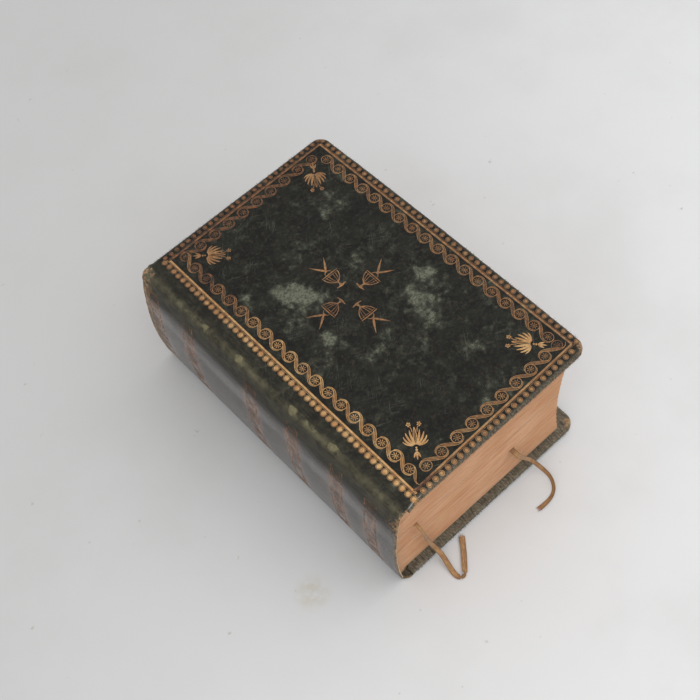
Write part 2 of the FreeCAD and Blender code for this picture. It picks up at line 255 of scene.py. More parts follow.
def leaf_section(number):
    """One section, as a stack of loops round its packets, with its page faces as caps."""
    low, high = box_mm(f"section_{number:02d}")
    if number == 1:
        high[2] = low[2] + shouldered_mm
    if number == sections:
        low[2] = high[2] - shouldered_mm
    draw = random.Random(number)
    side_x = np.linspace(0, 1, 46)[:-1]
    side_y = np.linspace(0, 1, 64)[:-1]
    rim_shares = [(share, 0.0) for share in side_x] + [(1.0, share) for share in side_y]
    rim_shares += [(1.0 - share, 1.0) for share in side_x] + [(0.0, 1.0 - share) for share in side_y]
    count = len(rim_shares)
    thickness = high[2] - low[2]
    points, page = [], []

    def loop(height, tail, fore, head, wave):
        level = low[2] + height
        drop = min(height, thickness - height)
        fold = fold_radius_mm - math.sqrt(max(fold_radius_mm ** 2 - max(fold_radius_mm - drop, 0) ** 2, 0))
        x0, x1, y0, y1 = low[0] + fold, high[0] - fore, low[1] + tail, high[1] - head
        for share_x, share_y in rim_shares:
            x, y = x0 + (x1 - x0) * share_x, y0 + (y1 - y0) * share_y
            swing = noise.noise((x * 0.035, y * 0.035, number * 0.21 + 3.0)) * 0.22
            ragged = noise.noise((x * 0.16, y * 0.16, level * 1.7)) * 0.1
            inwards = (share_y == 0) - 1.0 * (share_y == 1)
            points.append((x - ragged * (share_x == 1), y + ragged * inwards, level + swing * wave))
            page.append(0.0)

    base = 0.0
    loop(0.0, outer_leaf_short_mm, outer_leaf_short_mm, outer_leaf_short_mm, 0.0)
    for packet in range(packets_per_section):
        step = thickness / packets_per_section
        tail, fore, head = (abs(draw.gauss(0.0, unevenness_mm)) for _ in range(3))
        wave = math.sin(math.pi * (packet + 0.5) / packets_per_section)
        loop(base + step * 0.10, tail, fore, head, wave)
        loop(base + step * 0.88, tail, fore, head, wave)
        if packet < packets_per_section - 1:
            loop(base + step, tail + groove_mm, fore + groove_mm, head + groove_mm, wave)
        base += step
    loop(thickness, outer_leaf_short_mm, outer_leaf_short_mm, outer_leaf_short_mm, 0.0)
    rows = len(points) // count
    faces = grid_faces(rows, count, ring=True)
    for row, flip in ((0, True), (rows - 1, False)):
        rim = [row * count + step for step in range(count)]
        inner = []
        for index in rim:
            x, y, z = points[index]
            inner.append(len(points))
            page_x = min(max(x, low[0] + 2.2), high[0] - 1.4)
            page_y = min(max(y, low[1] + 1.4), high[1] - 1.4)
            points.append((page_x, page_y, z))
            page.append(1.0)
        for step in range(count):
            quad = (rim[step], rim[(step + 1) % count], inner[(step + 1) % count], inner[step])
            faces.append(quad[::-1] if flip else quad)
        faces.append(tuple(inner[::-1] if flip else inner))
    if number in (1, sections):
        sign = 1 if number == 1 else -1
        outer = high[2] - 0.6 if number == 1 else low[2] + 0.6
        own_low, own_high = box_mm(f"section_{number:02d}")
        reach = own_high[2] - high[2] if number == 1 else low[2] - own_low[2]
        west, east = low[0] - 0.7, box_mm("front_flyleaf")[0][0] - 0.8
        shape = [(west, 0.0), (west + 0.2, reach * 0.45), (west + 0.65, reach * 0.85),
                 (west + 1.55, reach + 0.5), (east - 0.12, reach + 0.55), (east, reach + 0.4), (east, 0.0)]
        start = len(points)
        stations = np.linspace(low[1] + 0.2, high[1] - 0.2, 60)
        for y in stations:
            for x, rise in shape:
                points.append((x, y, outer + sign * rise))
                page.append(0.0)
        last = start + (len(stations) - 1) * len(shape)
        faces += grid_faces(len(stations), len(shape), ring=True, start=start)
        faces.append(tuple(start + step for step in range(len(shape)))[::-1])
        faces.append(tuple(last + step for step in range(len(shape))))
    piece = new_piece(f"leaves_{number:02d}", points, faces, smooth=False)
    paint(piece, "page", page)
    piece.data.materials.append(leaf_paper)
    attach(piece, "text_upper" if number <= upper_sections else "text_lower")
    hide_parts(f"section_{number:02d}")


for number in range(1, sections + 1):
    leaf_section(number)


# Sewing. Four hemp cords lie in sawn kerfs across the folds, with a row of plain end stitches near
# the head and the tail, and a strip of thin linen is glued over the folds of each half.
def banded(tree, place, scale, direction, distortion, detail=2.0):
    """Soft bands across a piece, for threads and tool lines."""
    return add(tree, "ShaderNodeTexWave", {"Vector": place, "Scale": scale, "Distortion": distortion,
                                           "Detail": detail}, bands_direction=direction).outputs["Fac"]


sewing_thread, tree, shader, place = new_material("sewing_thread")
twist = banded(tree, stretched(tree, place, (1.0, 1.6, 1.0)), 1.4, "DIAGONAL", 0.8)
fuzz = use(tree, patches, Place=place, Scale=1.3, Low=0.3, High=0.7)
hemp = mixed(tree, fuzz, (0.42, 0.31, 0.18), (0.52, 0.41, 0.26))
tree.links.new(mixed(tree, twist, hemp, (0.24, 0.16, 0.085)), shader.inputs["Base Color"])
shader.inputs["Roughness"].default_value = 0.9
set_bump(tree, shader, twist, 0.0002)

spine_linen, tree, shader, place = new_material("spine_linen")
warp, weft = (banded(tree, place, 1.1, direction, 1.0) for direction in ("Y", "Z"))
weave = times(tree, warp, weft)
glue = use(tree, patches, Place=place, Scale=0.3, Low=0.4, High=0.7)
linen = mixed(tree, weave, (0.30, 0.21, 0.12), (0.52, 0.42, 0.28))
tree.links.new(mixed(tree, glue, linen, (0.22, 0.12, 0.05)), shader.inputs["Base Color"])
shader.inputs["Roughness"].default_value = 0.85
set_bump(tree, shader, weave, 0.0001)


def dress(node_name, material):
    """Gives a carried-over solid its material."""
    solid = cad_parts[node_name]
    solid.data.materials.clear()
    solid.data.materials.append(material)
    for slot in solid.material_slots:
        slot.material = material


for half in ("upper", "lower"):
    dress(f"sewing_cords_{half}", sewing_thread)
    dress(f"end_stitches_{half}", sewing_thread)
    dress(f"spine_lining_{half}", spine_linen)


# Markers. Two narrow woven silk ribbons, faded to ochre, glued in at the head of the spine. Each lies
# between two sections and comes out at the tail, where its loose end hangs over the back cover on to
# whatever the book lies on, with the cut end frayed.
marker_silk, tree, shader, place = new_material("marker_silk")
across, along, frayed = (painted(tree, name) for name in ("across", "along", "frayed"))
weave_place = add(tree, "ShaderNodeCombineXYZ", {0: times(tree, across, 9.0),
                                                 1: times(tree, along, 0.35)}).outputs[0]
threads = cloudy(tree, weave_place, 1.0, 2.0)
picks = maths(tree, "ABSOLUTE", maths(tree, "SINE", times(tree, along, 8.0)))
grime = use(tree, patches, Place=place, Scale=0.16, Low=0.42, High=0.66)
silk = mixed(tree, span(tree, threads, 0.36, 0.62), (0.250, 0.120, 0.050), (0.500, 0.300, 0.135))
silk = mixed(tree, times(tree, grime, 0.75), silk, (0.235, 0.115, 0.055))
edge_of_silk = span(tree, maths(tree, "ABSOLUTE", across), 0.66, 0.90, 0.0, 0.6)
silk = mixed(tree, edge_of_silk, silk, (0.130, 0.062, 0.030))
silk = mixed(tree, frayed, silk, (0.42, 0.235, 0.155))
tree.links.new(silk, shader.inputs["Base Color"])
shader.inputs["Roughness"].default_value = 0.7
shader.inputs["Specular IOR Level"].default_value = 0.25
shader.inputs["Sheen Weight"].default_value = 0.12
shader.inputs["Sheen Roughness"].default_value = 0.4
set_bump(tree, shader, plus(tree, threads, times(tree, picks, 0.4)), 0.0001, 0.7)

ribbon_width_mm = 2.2
UPPER_TAIL = [
    (-37.4, -71.5, 35.4), (-37.4, -73.4, 35.4), (-37.4, -74.86, 34.2), (-37.0, -75.4, 31.6),
    (-35.8, -75.0, 26.6), (-33.9, -74.5, 18.8), (-31.9, -74.6, 11.0), (-30.3, -75.6, 5.8),
    (-29.9, -77.9, 3.3), (-30.3, -81.0, 1.5), (-30.9, -83.9, 0.6), (-31.2, -86.6, 0.35),
    (-30.6, -88.3, 0.4), (-29.4, -88.9, 0.6), (-28.1, -88.4, 0.85), (-25.9, -85.9, 0.8),
    (-22.3, -82.1, 0.5), (-18.2, -76.9, 0.4),
]
LOWER_TAIL = [
    (14.0, -71.5, 24.25), (14.0, -73.4, 24.25), (14.3, -74.85, 23.05), (15.6, -75.3, 20.7),
    (18.2, -75.2, 16.0), (21.6, -75.1, 10.0), (23.7, -76.0, 5.6), (25.0, -79.4, 3.2),
    (25.4, -84.0, 1.5), (22.6, -88.5, 0.95), (17.6, -90.3, 0.7), (12.4, -89.8, 0.5),
]
# The way that each ribbon's width points beside each place on its route, and half its width there.
UPPER_LIE = [
    ((1, 0, 0), 0.7), ((1, 0, 0), 0.65), ((1, 0.3, 0), 0.6), ((1, 0.3, 0.2), 0.6), ((1, 0.2, 0.3), 0.75),
    ((1, -0.1, 0.3), 0.9), ((1, -0.1, 0.25), 1.0), ((1, 0, 0.2), 1.05), ((1, 0, 0.1), 1.1), ((1, 0, 0), 1.1),
    ((1, -0.1, 0), 1.1), ((1, -0.2, 0.1), 1.1), ((0.9, -0.5, 0.3), 1.0), ((0.2, -1, 0.5), 0.9),
    ((-0.6, -0.8, 0.3), 0.95), ((-0.8, 0.6, 0), 1.05), ((-0.8, 0.6, 0.1), 1.1), ((-0.8, 0.6, 0.15), 1.2),
]
LOWER_LIE = [
    ((1, 0, 0), 1.1), ((1, 0, 0), 1.1), ((1, 0.3, 0), 1.1), ((1, 0.2, 0.5), 1.0), ((1, 0, 0.7), 0.95),
    ((1, 0.3, 0.6), 0.9), ((0.8, 0.5, 0.6), 0.9), ((0.6, 0.3, 0.8), 0.95), ((0.5, 0.1, 0.8), 0.95),
    ((0.4, -0.5, 0.7), 0.9), ((0.1, -0.8, 0.55), 0.95), ((0.0, -1, 0.3), 1.1),
]
half_thickness_mm = 0.06
least_level_mm = 0.02
end_threads = 11


def smooth_route(name, route):
    """The points, in millimetres, of a smooth line along a route."""
    curve = bpy.data.curves.new(name, "CURVE")
    curve.dimensions = "3D"
    spline = curve.splines.new("NURBS")
    spline.points.add(len(route) - 1)
    for point, place_mm in zip(spline.points, route):
        point.co = (*(value * 0.001 for value in place_mm), 1.0)
    spline.order_u = 3
    spline.use_endpoint_u = True
    curve.resolution_u = 10
    holder = bpy.data.objects.new(name, curve)
    bpy.context.scene.collection.objects.link(holder)
    mesh = bpy.data.meshes.new_from_object(holder.evaluated_get(bpy.context.evaluated_depsgraph_get()))
    line = [vertex.co * 1000 for vertex in mesh.vertices]
    bpy.data.objects.remove(holder)
    bpy.data.meshes.remove(mesh)
    return line


def ribbon_tail(name, route, lie):
    """A thin woven strip along a route, a little cupped across, with loose threads at its cut end."""
    line = smooth_route(f"{name}_line", route)
    points, across_at, along_at, fray_at, faces = [], [], [], [], []
    shares = (-1.0, -0.72, -0.36, 0.0, 0.36, 0.72, 1.0)
    run, last_frame = 0.0, None
    for step, here in enumerate(line):
        before, after = line[max(step - 1, 0)], line[min(step + 1, len(line) - 1)]
        way = (after - before).normalized()
        place_on_route = step / (len(line) - 1) * (len(lie) - 1)
        first = min(int(place_on_route), len(lie) - 2)
        part = place_on_route - first
        side = Vector(lie[first][0]).normalized().lerp(Vector(lie[first + 1][0]).normalized(), part)
        side = (side - way * side.dot(way)).normalized()
        face_way = way.cross(side)
        half = lie[first][1] + (lie[first + 1][1] - lie[first][1]) * part
        run += (here - before).length
        cup = 0.10 + 0.16 * noise.noise((run * 0.12, len(route), 0.0))
        last_frame = (here, way, side, face_way, half)
        upper_face = [(share, half_thickness_mm) for share in shares]
        lower_face = [(share, -half_thickness_mm) for share in shares[::-1]]
        for share, rise in upper_face + lower_face:
            spot = here + side * share * half + face_way * (rise + cup * (share ** 2 - 0.4))
            spot.z = max(spot.z, least_level_mm)
            points.append(tuple(spot))
            across_at.append(share)
            along_at.append(run)
            fray_at.append(0.0)
    around = 2 * len(shares)
    faces += grid_faces(len(line), around, ring=True)
    faces += [tuple(range(around)), tuple(range(len(points) - around, len(points)))]
    here, way, side, face_way, half = last_frame
    draw = random.Random(len(route))
    for thread in range(end_threads):
        from_middle = thread - end_threads // 2
        offset = from_middle / 5.4 * half
        lean = Vector((draw.uniform(-0.25, 0.25), draw.uniform(-0.25, 0.25), 0.0))
        lean += side * from_middle * 0.03
        reach, start = draw.uniform(0.5, 1.5), len(points)
        for part in (0.0, 0.5, 1.0):
            middle = here - way * 0.2 + side * offset + (way + lean * part) * reach * part
            for corner in ((0.09, 0.05), (-0.09, 0.05), (-0.09, -0.05), (0.09, -0.05)):
                spot = middle + side * corner[0] * (1.0 - 0.6 * part) + face_way * corner[1]
                spot.z = max(spot.z, least_level_mm)
                points.append(tuple(spot))
                across_at.append(offset / half)
                along_at.append(run)
                fray_at.append(0.9)
        faces += grid_faces(3, 4, ring=True, start=start)
        faces += [tuple(first + corner for corner in range(4)) for first in (start, start + 8)]
    tail = new_piece(f"{name}_loose", points, faces)
    tail.data.set_sharp_from_angle(angle=math.radians(50))
    for label, values in (("across", across_at), ("along", along_at), ("frayed", fray_at)):
        paint(tail, label, values)
    return tail, line


def marker(name, route, lie):
    """The flat strip inside the book and the loose tail of one marker."""
    low, high = box_mm(f"{name}_strip")
    head_x, tail_x, level = low[0] + ribbon_width_mm / 2, route[0][0], (low[2] + high[2]) / 2
    points, across_at, along_at = [], [], []
    stations = np.linspace(high[1], low[1], 120)
    for y in stations:
        share = (high[1] - y) / (high[1] - low[1])
        wander = noise.noise((y * 0.03, tail_x, 0.0)) * 0.5 * math.sin(math.pi * share)
        middle = head_x + (tail_x - head_x) * share + wander
        for across_here, rise in ((-1.0, -0.05), (-0.5, 0.04), (0.0, 0.06), (0.5, 0.04), (1.0, -0.05),
                                  (0.5, -0.09), (0.0, -0.10), (-0.5, -0.09)):
            points.append((middle + across_here * ribbon_width_mm / 2, y, level + rise))
            across_at.append(across_here)
            along_at.append(high[1] - y)
    faces = grid_faces(len(stations), 8, ring=True)
    faces += [tuple(range(8)), tuple(range(len(points) - 8, len(points)))]
    strip = new_piece(f"{name}_inside", points, faces)
    paint(strip, "across", across_at)
    paint(strip, "along", along_at)
    tail, line = ribbon_tail(name, route, lie)
    for piece, node_name in ((strip, f"{name}_strip"), (tail, f"{name}_tail")):
        piece.data.materials.append(marker_silk)
        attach(piece, "text_lower")
        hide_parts(node_name)


marker("upper_ribbon", UPPER_TAIL, UPPER_LIE)
marker("lower_ribbon", LOWER_TAIL, LOWER_LIE)


# Endpapers. Plain cream sheets: one pasted down inside each board, its free half left as a flyleaf,
# and between the two a joint of the same paper that folds up beside the board. One more folded
# sheet lines the place where the book falls open.
endpaper, tree, shader, place = new_material("endpaper", rest=True)
spots = use(tree, patches, Place=place, Scale=0.16, Low=0.60, High=0.76)
tone = use(tree, patches, Place=place, Scale=0.03, Low=0.35, High=0.7)
cream = mixed(tree, tone, (0.62, 0.52, 0.36), (0.70, 0.61, 0.45))
cream = mixed(tree, spots, cream, (0.42, 0.27, 0.13))
near_edge = painted(tree, "near_edge")
tree.links.new(mixed(tree, near_edge, cream, (0.40, 0.25, 0.13)), shader.inputs["Base Color"])
laid = banded(tree, place, 0.32, "Y", 0.4, 1.0)
pulp = cloudy(tree, place, 2.4, 3.0)
shader.inputs["Roughness"].default_value = 0.8
shader.inputs["Specular IOR Level"].default_value = 0.3
set_bump(tree, shader, plus(tree, times(tree, laid, 0.3), pulp), 0.00008, 0.6)


def keep_rest(piece):
    """Notes where every point of a piece lies at rest, in metres."""
    places = np.array([vertex.co for vertex in piece.data.vertices], np.float32)
    attribute = piece.data.attributes.new("rest", "FLOAT_VECTOR", "POINT")
    attribute.data.foreach_set("vector", places.ravel())


def paper_sheet(name, line, tail_y, head_y, thickness, swing=0.0, mirror=False):
    """A sheet of paper that follows a line of (x, z) points across the book, from tail to head.
    Its upper face is on the left of the line. A mirrored sheet is turned over about the middle."""
    line = np.array(line, float)
    way = np.gradient(line, axis=0)
    way /= np.linalg.norm(way, axis=1)[:, None]
    normal = np.stack([-way[:, 1], way[:, 0]], 1)
    stations = np.linspace(tail_y, head_y, 76)
    points, edge = [], []
    for y in stations:
        for side in (1, -1):
            order = range(len(line)) if side == 1 else range(len(line) - 1, -1, -1)
            for step in order:
                x, z = line[step] + normal[step] * side * thickness / 2
                z += swing * noise.noise((x * 0.05, y * 0.05, 1.0 if mirror else 5.0))
                points.append((x, y, middle_mm * 2 - z if mirror else z))
                reach = min(y - tail_y, head_y - y, line[-1][0] - x)
                edge.append(max(0.0, 1.0 - reach / 1.6) * 0.8)
    count = 2 * len(line)
    faces = grid_faces(len(stations), count, ring=True)
    faces += [tuple(range(count))[::-1], tuple(range(len(points) - count, len(points)))]
    if not mirror:
        faces = [face[::-1] for face in faces]
    piece = new_piece(name, points, faces)
    piece.data.set_sharp_from_angle(angle=math.radians(40))
    keep_rest(piece)
    paint(piece, "near_edge", edge)
    piece.data.materials.append(endpaper)
    return piece


cover_low, cover_high = box_mm("front_cover_leather")
middle_mm = cover_high[2] / 2
joint_mm = cover_low[0] - 0.2
leaf_end = box_mm("section_10")[1][1]
joint_fold = ((-0.16, 58.3), (-0.16, 59.5), (-0.14, 60.6), (-0.05, 61.05), (0.16, 61.2), (0.4, 61.22),
              (0.66, 61.16), (0.86, 60.95), (0.93, 60.4), (0.94, 59.6), (0.98, 58.9), (1.25, 58.62),
              (2.6, 58.57))
for side, upside_down in (("front", False), ("back", True)):
    half = "upper" if side == "front" else "lower"
    low, high = box_mm("front_pastedown")
    level = (low[2] + high[2]) / 2
    pasted = paper_sheet(f"{side}_pasted_sheet", [(x, level) for x in np.linspace(low[0], high[0], 60)],
                         low[1], high[1], high[2] - low[2] - 0.02, mirror=upside_down)
    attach(pasted, f"{side}_cover")
    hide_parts(f"{side}_pastedown")
    low, high = box_mm("front_flyleaf")
    level = (low[2] + high[2]) / 2
    free = paper_sheet(f"{side}_free_leaf", [(x, level) for x in np.linspace(low[0], high[0], 60)],
                       low[1] + 0.1, high[1] - 0.15, 0.16, swing=0.22, mirror=upside_down)
    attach(free, f"{side}_flyleaf")
    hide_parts(f"{side}_flyleaf")
    bend = paper_sheet(f"{side}_paper_joint", [(joint_mm + across, level) for across, level in joint_fold],
                       -leaf_end + 0.4, leaf_end - 0.4, 0.08, mirror=upside_down)
    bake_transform(bend)

low, high = box_mm("section_11")
gap_low, gap_high = high[2], box_mm("section_10")[0][2]
turn_x = low[0] - 0.35
opening = [(x, gap_high - 0.07) for x in np.linspace(high[0] - 0.1, turn_x + 0.4, 60)]
opening += [(turn_x + 0.2, gap_high - 0.08), (turn_x + 0.04, gap_high - 0.14),
            (turn_x, (gap_low + gap_high) / 2), (turn_x + 0.04, gap_low + 0.14),
            (turn_x + 0.2, gap_low + 0.08)]
opening += [(x, gap_low + 0.03) for x in np.linspace(turn_x + 0.4, high[0] - 0.1, 60)]
opening_sheet = paper_sheet("opening_sheet", opening, -leaf_end + 0.1, leaf_end - 0.1, 0.04)
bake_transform(opening_sheet)


# Boards. Two sheets of grey pasteboard, laminated from waste paper and cut with rounded corners. The
# leather and the endpapers are pasted over them and cover them wholly.
pasteboard, tree, shader, place = new_material("pasteboard")
plies = cloudy(tree, stretched(tree, place, (0.1, 0.1, 4.0)), 1.0, 3.0)
flecks = use(tree, patches, Place=place, Scale=0.9, Low=0.5, High=0.7)
grey = mixed(tree, plies, (0.24, 0.21, 0.17), (0.36, 0.32, 0.26))
tree.links.new(mixed(tree, flecks, grey, (0.16, 0.13, 0.10)), shader.inputs["Base Color"])
shader.inputs["Roughness"].default_value = 0.9
set_bump(tree, shader, plies, 0.0001)
skin_corner = 5.0
board_inset = 0.9


def fore_edge(y):
    """The covers are cut a little out of square, and bow at the fore-edge."""
    return 50.45 - 0.75 * (y / 75) ** 2 - 0.3 * y / 75


def head_edge(x):
    """The head of both covers, which rises a little towards the fore-edge."""
    return 73.2 + 0.014 * x


def eased(value, low, high):
    """From 0 at one value to 1 at another, level at both ends."""
    share = min(max((value - low) / (high - low), 0.0), 1.0)
    return share * share * (3 - 2 * share)


def tail_edge(x, side="front"):
    """The front board is a little short at the tail, so the gilding runs closer to its edge."""
    short = 0.75 * eased(x, joint_mm + 0.5, joint_mm + 5.0) if side == "front" else 0.0
    return -74.75 + 0.004 * x + short


def on_circle(x, y, radius, turn):
    """The place on a circle at an angle."""
    return x + radius * math.cos(turn), y + radius * math.sin(turn)


for side in ("front", "back"):
    low, high = box_mm(f"{side}_board")
    corner = skin_corner - board_inset
    tail_y, head_y = tail_edge(46, side) + board_inset, head_edge(46) - board_inset
    outline = [(low[0], tail_y)]
    for y_edge, first_turn in ((tail_y, -90), (head_y, 0)):
        middle_y = y_edge - math.copysign(corner, y_edge)
        if y_edge > 0:
            outline += [(fore_edge(y) - board_inset, y) for y in np.linspace(-66, 66, 23)]
        middle_x = fore_edge(middle_y) - board_inset - corner
        outline += [on_circle(middle_x, middle_y, corner, math.radians(turn))
                    for turn in np.linspace(first_turn, first_turn + 90, 9)]
    outline.append((low[0], head_edge(low[0]) - board_inset))
    middle_of_board = np.mean(outline, axis=0)
    slices = ((low[2], 0.994), (low[2] + 0.3, 1.0), (high[2] - 0.3, 1.0), (high[2], 0.994))
    points = [(*(middle_of_board + (np.array(spot) - middle_of_board) * scale), z)
              for z, scale in slices for spot in outline]
    count = len(outline)
    board = new_piece(f"{side}_pasteboard", points, grid_faces(4, count, ring=True) + [
        tuple(range(count)), tuple(range(3 * count, 4 * count))], smooth=False)
    board.data.materials.append(pasteboard)
    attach(board, f"{side}_cover")
    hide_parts(f"{side}_board")


# Cover leather. Dark green sheepskin, pared thin and drawn over each board from the spine, turned in
# over its three edges, where its surface has worn to loose fibres. It is one skin with the spine
# leather, and bends at the joint beside the board.
# The face of the hide lies this far inside the cover's box, which leaves room for its swell.
cover_reach = 0.25
seam_level = 50.0
spine_radius = 140.0
spine_thick, shoulder_thick, joint_thick = 0.85, 0.75, 0.65
spine_crown = box_mm("spine_leather_lower")[0][0]
arc_x = spine_crown + spine_radius


def swell(x, y, z):
    """The slow rise and fall of the hide over board and spine."""
    broad, small = (noise.noise((x * scale, y * scale, z * scale)) for scale in (0.04, 0.21))
    return 0.17 * broad + 0.045 * small


def edge_drop(distance, radius):
    """How far a rounded edge falls away at a distance inside it."""
    if distance >= radius:
        return 0.0
    return radius - math.sqrt(max(radius ** 2 - (radius - distance) ** 2, 0.0))


def edge_radius(x):
    """The edges of a board are rounded, and those of the spine leather are nearly square."""
    return 0.34 + 0.9 * eased(x, joint_mm + 0.6, joint_mm + 2.6)


def edge_distance(x, y):
    """From a place on the front cover to the nearest of its three edges."""
    fore, head, tail = fore_edge(y) - x, head_edge(x) - y, y - tail_edge(x)
    end = min(head, tail)
    if fore < skin_corner and end < skin_corner:
        return skin_corner - math.hypot(skin_corner - fore, skin_corner - end)
    return min(fore, end)


def cover_height(x, y, side="front"):
    """The level of the hide's face on a cover, counted as if it were the front one."""
    top = cover_high[2] - cover_reach
    return top + swell(x, y, own_level(top, side)) - edge_drop(edge_distance(x, y), edge_radius(x))


def own_level(z, side):
    """The back cover is made like the front one and turned over about the middle of the book."""
    return 2 * middle_mm - z if side == "back" else z


half_book = cover_high[1]
resting_tail_short_mm = 2.0
end_steps = [0.0, 0.1, 0.26, 0.48, 0.75, 1.1, 1.5, 2.0, 2.6, 3.3, 4.1, 5.0, 6.2, 7.4, 8.6, 10.0, 11.6]
skin_rows = [-half_book + distance for distance in end_steps]
skin_rows += list(np.linspace(-half_book + 13.2, half_book - 13.2, 92))
skin_rows += [half_book - distance for distance in end_steps[::-1]]


def skin_columns(shoulder_radius):
    """Across the skin from the spine to the fore-edge: outer point, inner point and the way out."""
    top = cover_high[2] - cover_reach
    centre_z = top - shoulder_radius
    inner_radius, rise = spine_radius - shoulder_radius, centre_z - middle_mm
    centre = (arc_x - math.sqrt(inner_radius ** 2 - rise ** 2), centre_z)
    meeting = math.atan2(centre[1] - middle_mm, arc_x - centre[0])
    start = math.asin((seam_level - middle_mm) / spine_radius)
    columns = []
    for angle in np.linspace(start, meeting, 12)[:-1]:
        way = (-math.cos(angle), math.sin(angle))
        columns.append(((arc_x + spine_radius * way[0], middle_mm + spine_radius * way[1]), way, spine_thick))
    for angle in np.linspace(meeting, math.pi / 2, 12):
        way = (-math.cos(angle), math.sin(angle))
        outer = (centre[0] + shoulder_radius * way[0], centre[1] + shoulder_radius * way[1])
        columns.append((outer, way, shoulder_thick))
    joint = [joint_mm + across for across in (-0.5, -0.25, 0.0, 0.25, 0.5, 0.75, 0.95)]
    columns += [((x, top), (0.0, 1.0), joint_thick) for x in joint if x > centre[0] + 0.1]
    columns = [(outer, (outer[0] - way[0] * thick, outer[1] - way[1] * thick), way)
               for outer, way, thick in columns]
    turned_in, window = cover_low[2], cover_low[2] + 0.24
    window_x = box_mm("front_pastedown")[1][0]
    inside = [(joint_mm + across, turned_in + rise)
              for across, rise in ((1.07, 0.2), (1.2, 0.12), (1.9, 0.1))]
    fore = [0.0, 0.1, 0.26, 0.48, 0.75, 1.1, 1.5, 2.0, 2.6, 3.3, 4.1, 5.0, 6.0, 7.0, 8.0, 9.0, 10.0]
    west, east = inside[-1][0] + 0.8, cover_high[0] - fore[-1]
    plain = list(np.linspace(west, east, 96))[:-1] + [cover_high[0] - distance for distance in fore[::-1]]
    return columns + [((x, top), (x, z), (0.0, 1.0)) for x, z in inside] + [
        ((x, top), (x, window if x < window_x else turned_in), (0.0, 1.0)) for x in plain]


def skin_pair(column, y0, side):
    """The outer and the inner point of the hide at one column and row, and how far in they lie."""
    (x0, z0), (x1, z1), way = column
    x, y, distance = x0, y0, min(half_book - abs(y0), cover_high[0] - x0)
    corner_x, corner_y = cover_high[0] - skin_corner, half_book - skin_corner
    across, along = (x0 - corner_x) / skin_corner, (abs(y0) - corner_y) / skin_corner
    if across > 0 and along > 0:
        far, near = max(across, along), min(across, along)
        angle = math.pi / 4 * near / far
        if across < along:
            angle = math.pi / 2 - angle
        x = corner_x + skin_corner * far * math.cos(angle)
        y = math.copysign(corner_y + skin_corner * far * math.sin(angle), y0)
    shift = (fore_edge(y) - cover_high[0]) * eased(x, cover_high[0] - 12, cover_high[0] - 1)
    y += ((head_edge(x) - half_book) * eased(y, half_book - 14, half_book - 1) +
          (tail_edge(x, side) + half_book) * eased(-y, half_book - 14, half_book - 1))
    ragged = 0.16 * noise.noise((x * 0.3, y * 0.3, 9.0)) * (1 - eased(distance, 0.0, 2.0))
    if y > 0 and x0 < joint_mm:
        torn = noise.noise((z0 * 0.45, 2.0, side == "back")) + 0.6 * noise.noise((z0 * 1.3, x0, 5.0))
        y -= 0.9 * abs(torn) * (1 - eased(distance, 0.0, 4.0))
    if y < 0 and x0 < joint_mm:
        resting = (1 - eased(own_level(z0, side), 0.0, 8.0)) * (1 - eased(x0, -49.6, joint_mm))
        y += resting_tail_short_mm * resting
    rise = swell(x, y, own_level(z0, side)) - edge_drop(distance, edge_radius(x0))
    y_out = y - math.copysign(ragged, y)
    outer = (x + shift + way[0] * rise + ragged, y_out, z0 + way[1] * rise)
    if x0 > joint_mm + 1.5:
        if abs(y0) > box_mm("front_pastedown")[1][1]:
            z1 = cover_low[2]
        return outer, (x + shift + ragged, y_out, z1 + edge_drop(distance, 0.7)), distance
    lift = edge_drop(distance, 0.25)
    return outer, (x1 + way[0] * lift + ragged, y_out, z1 + way[1] * lift), distance


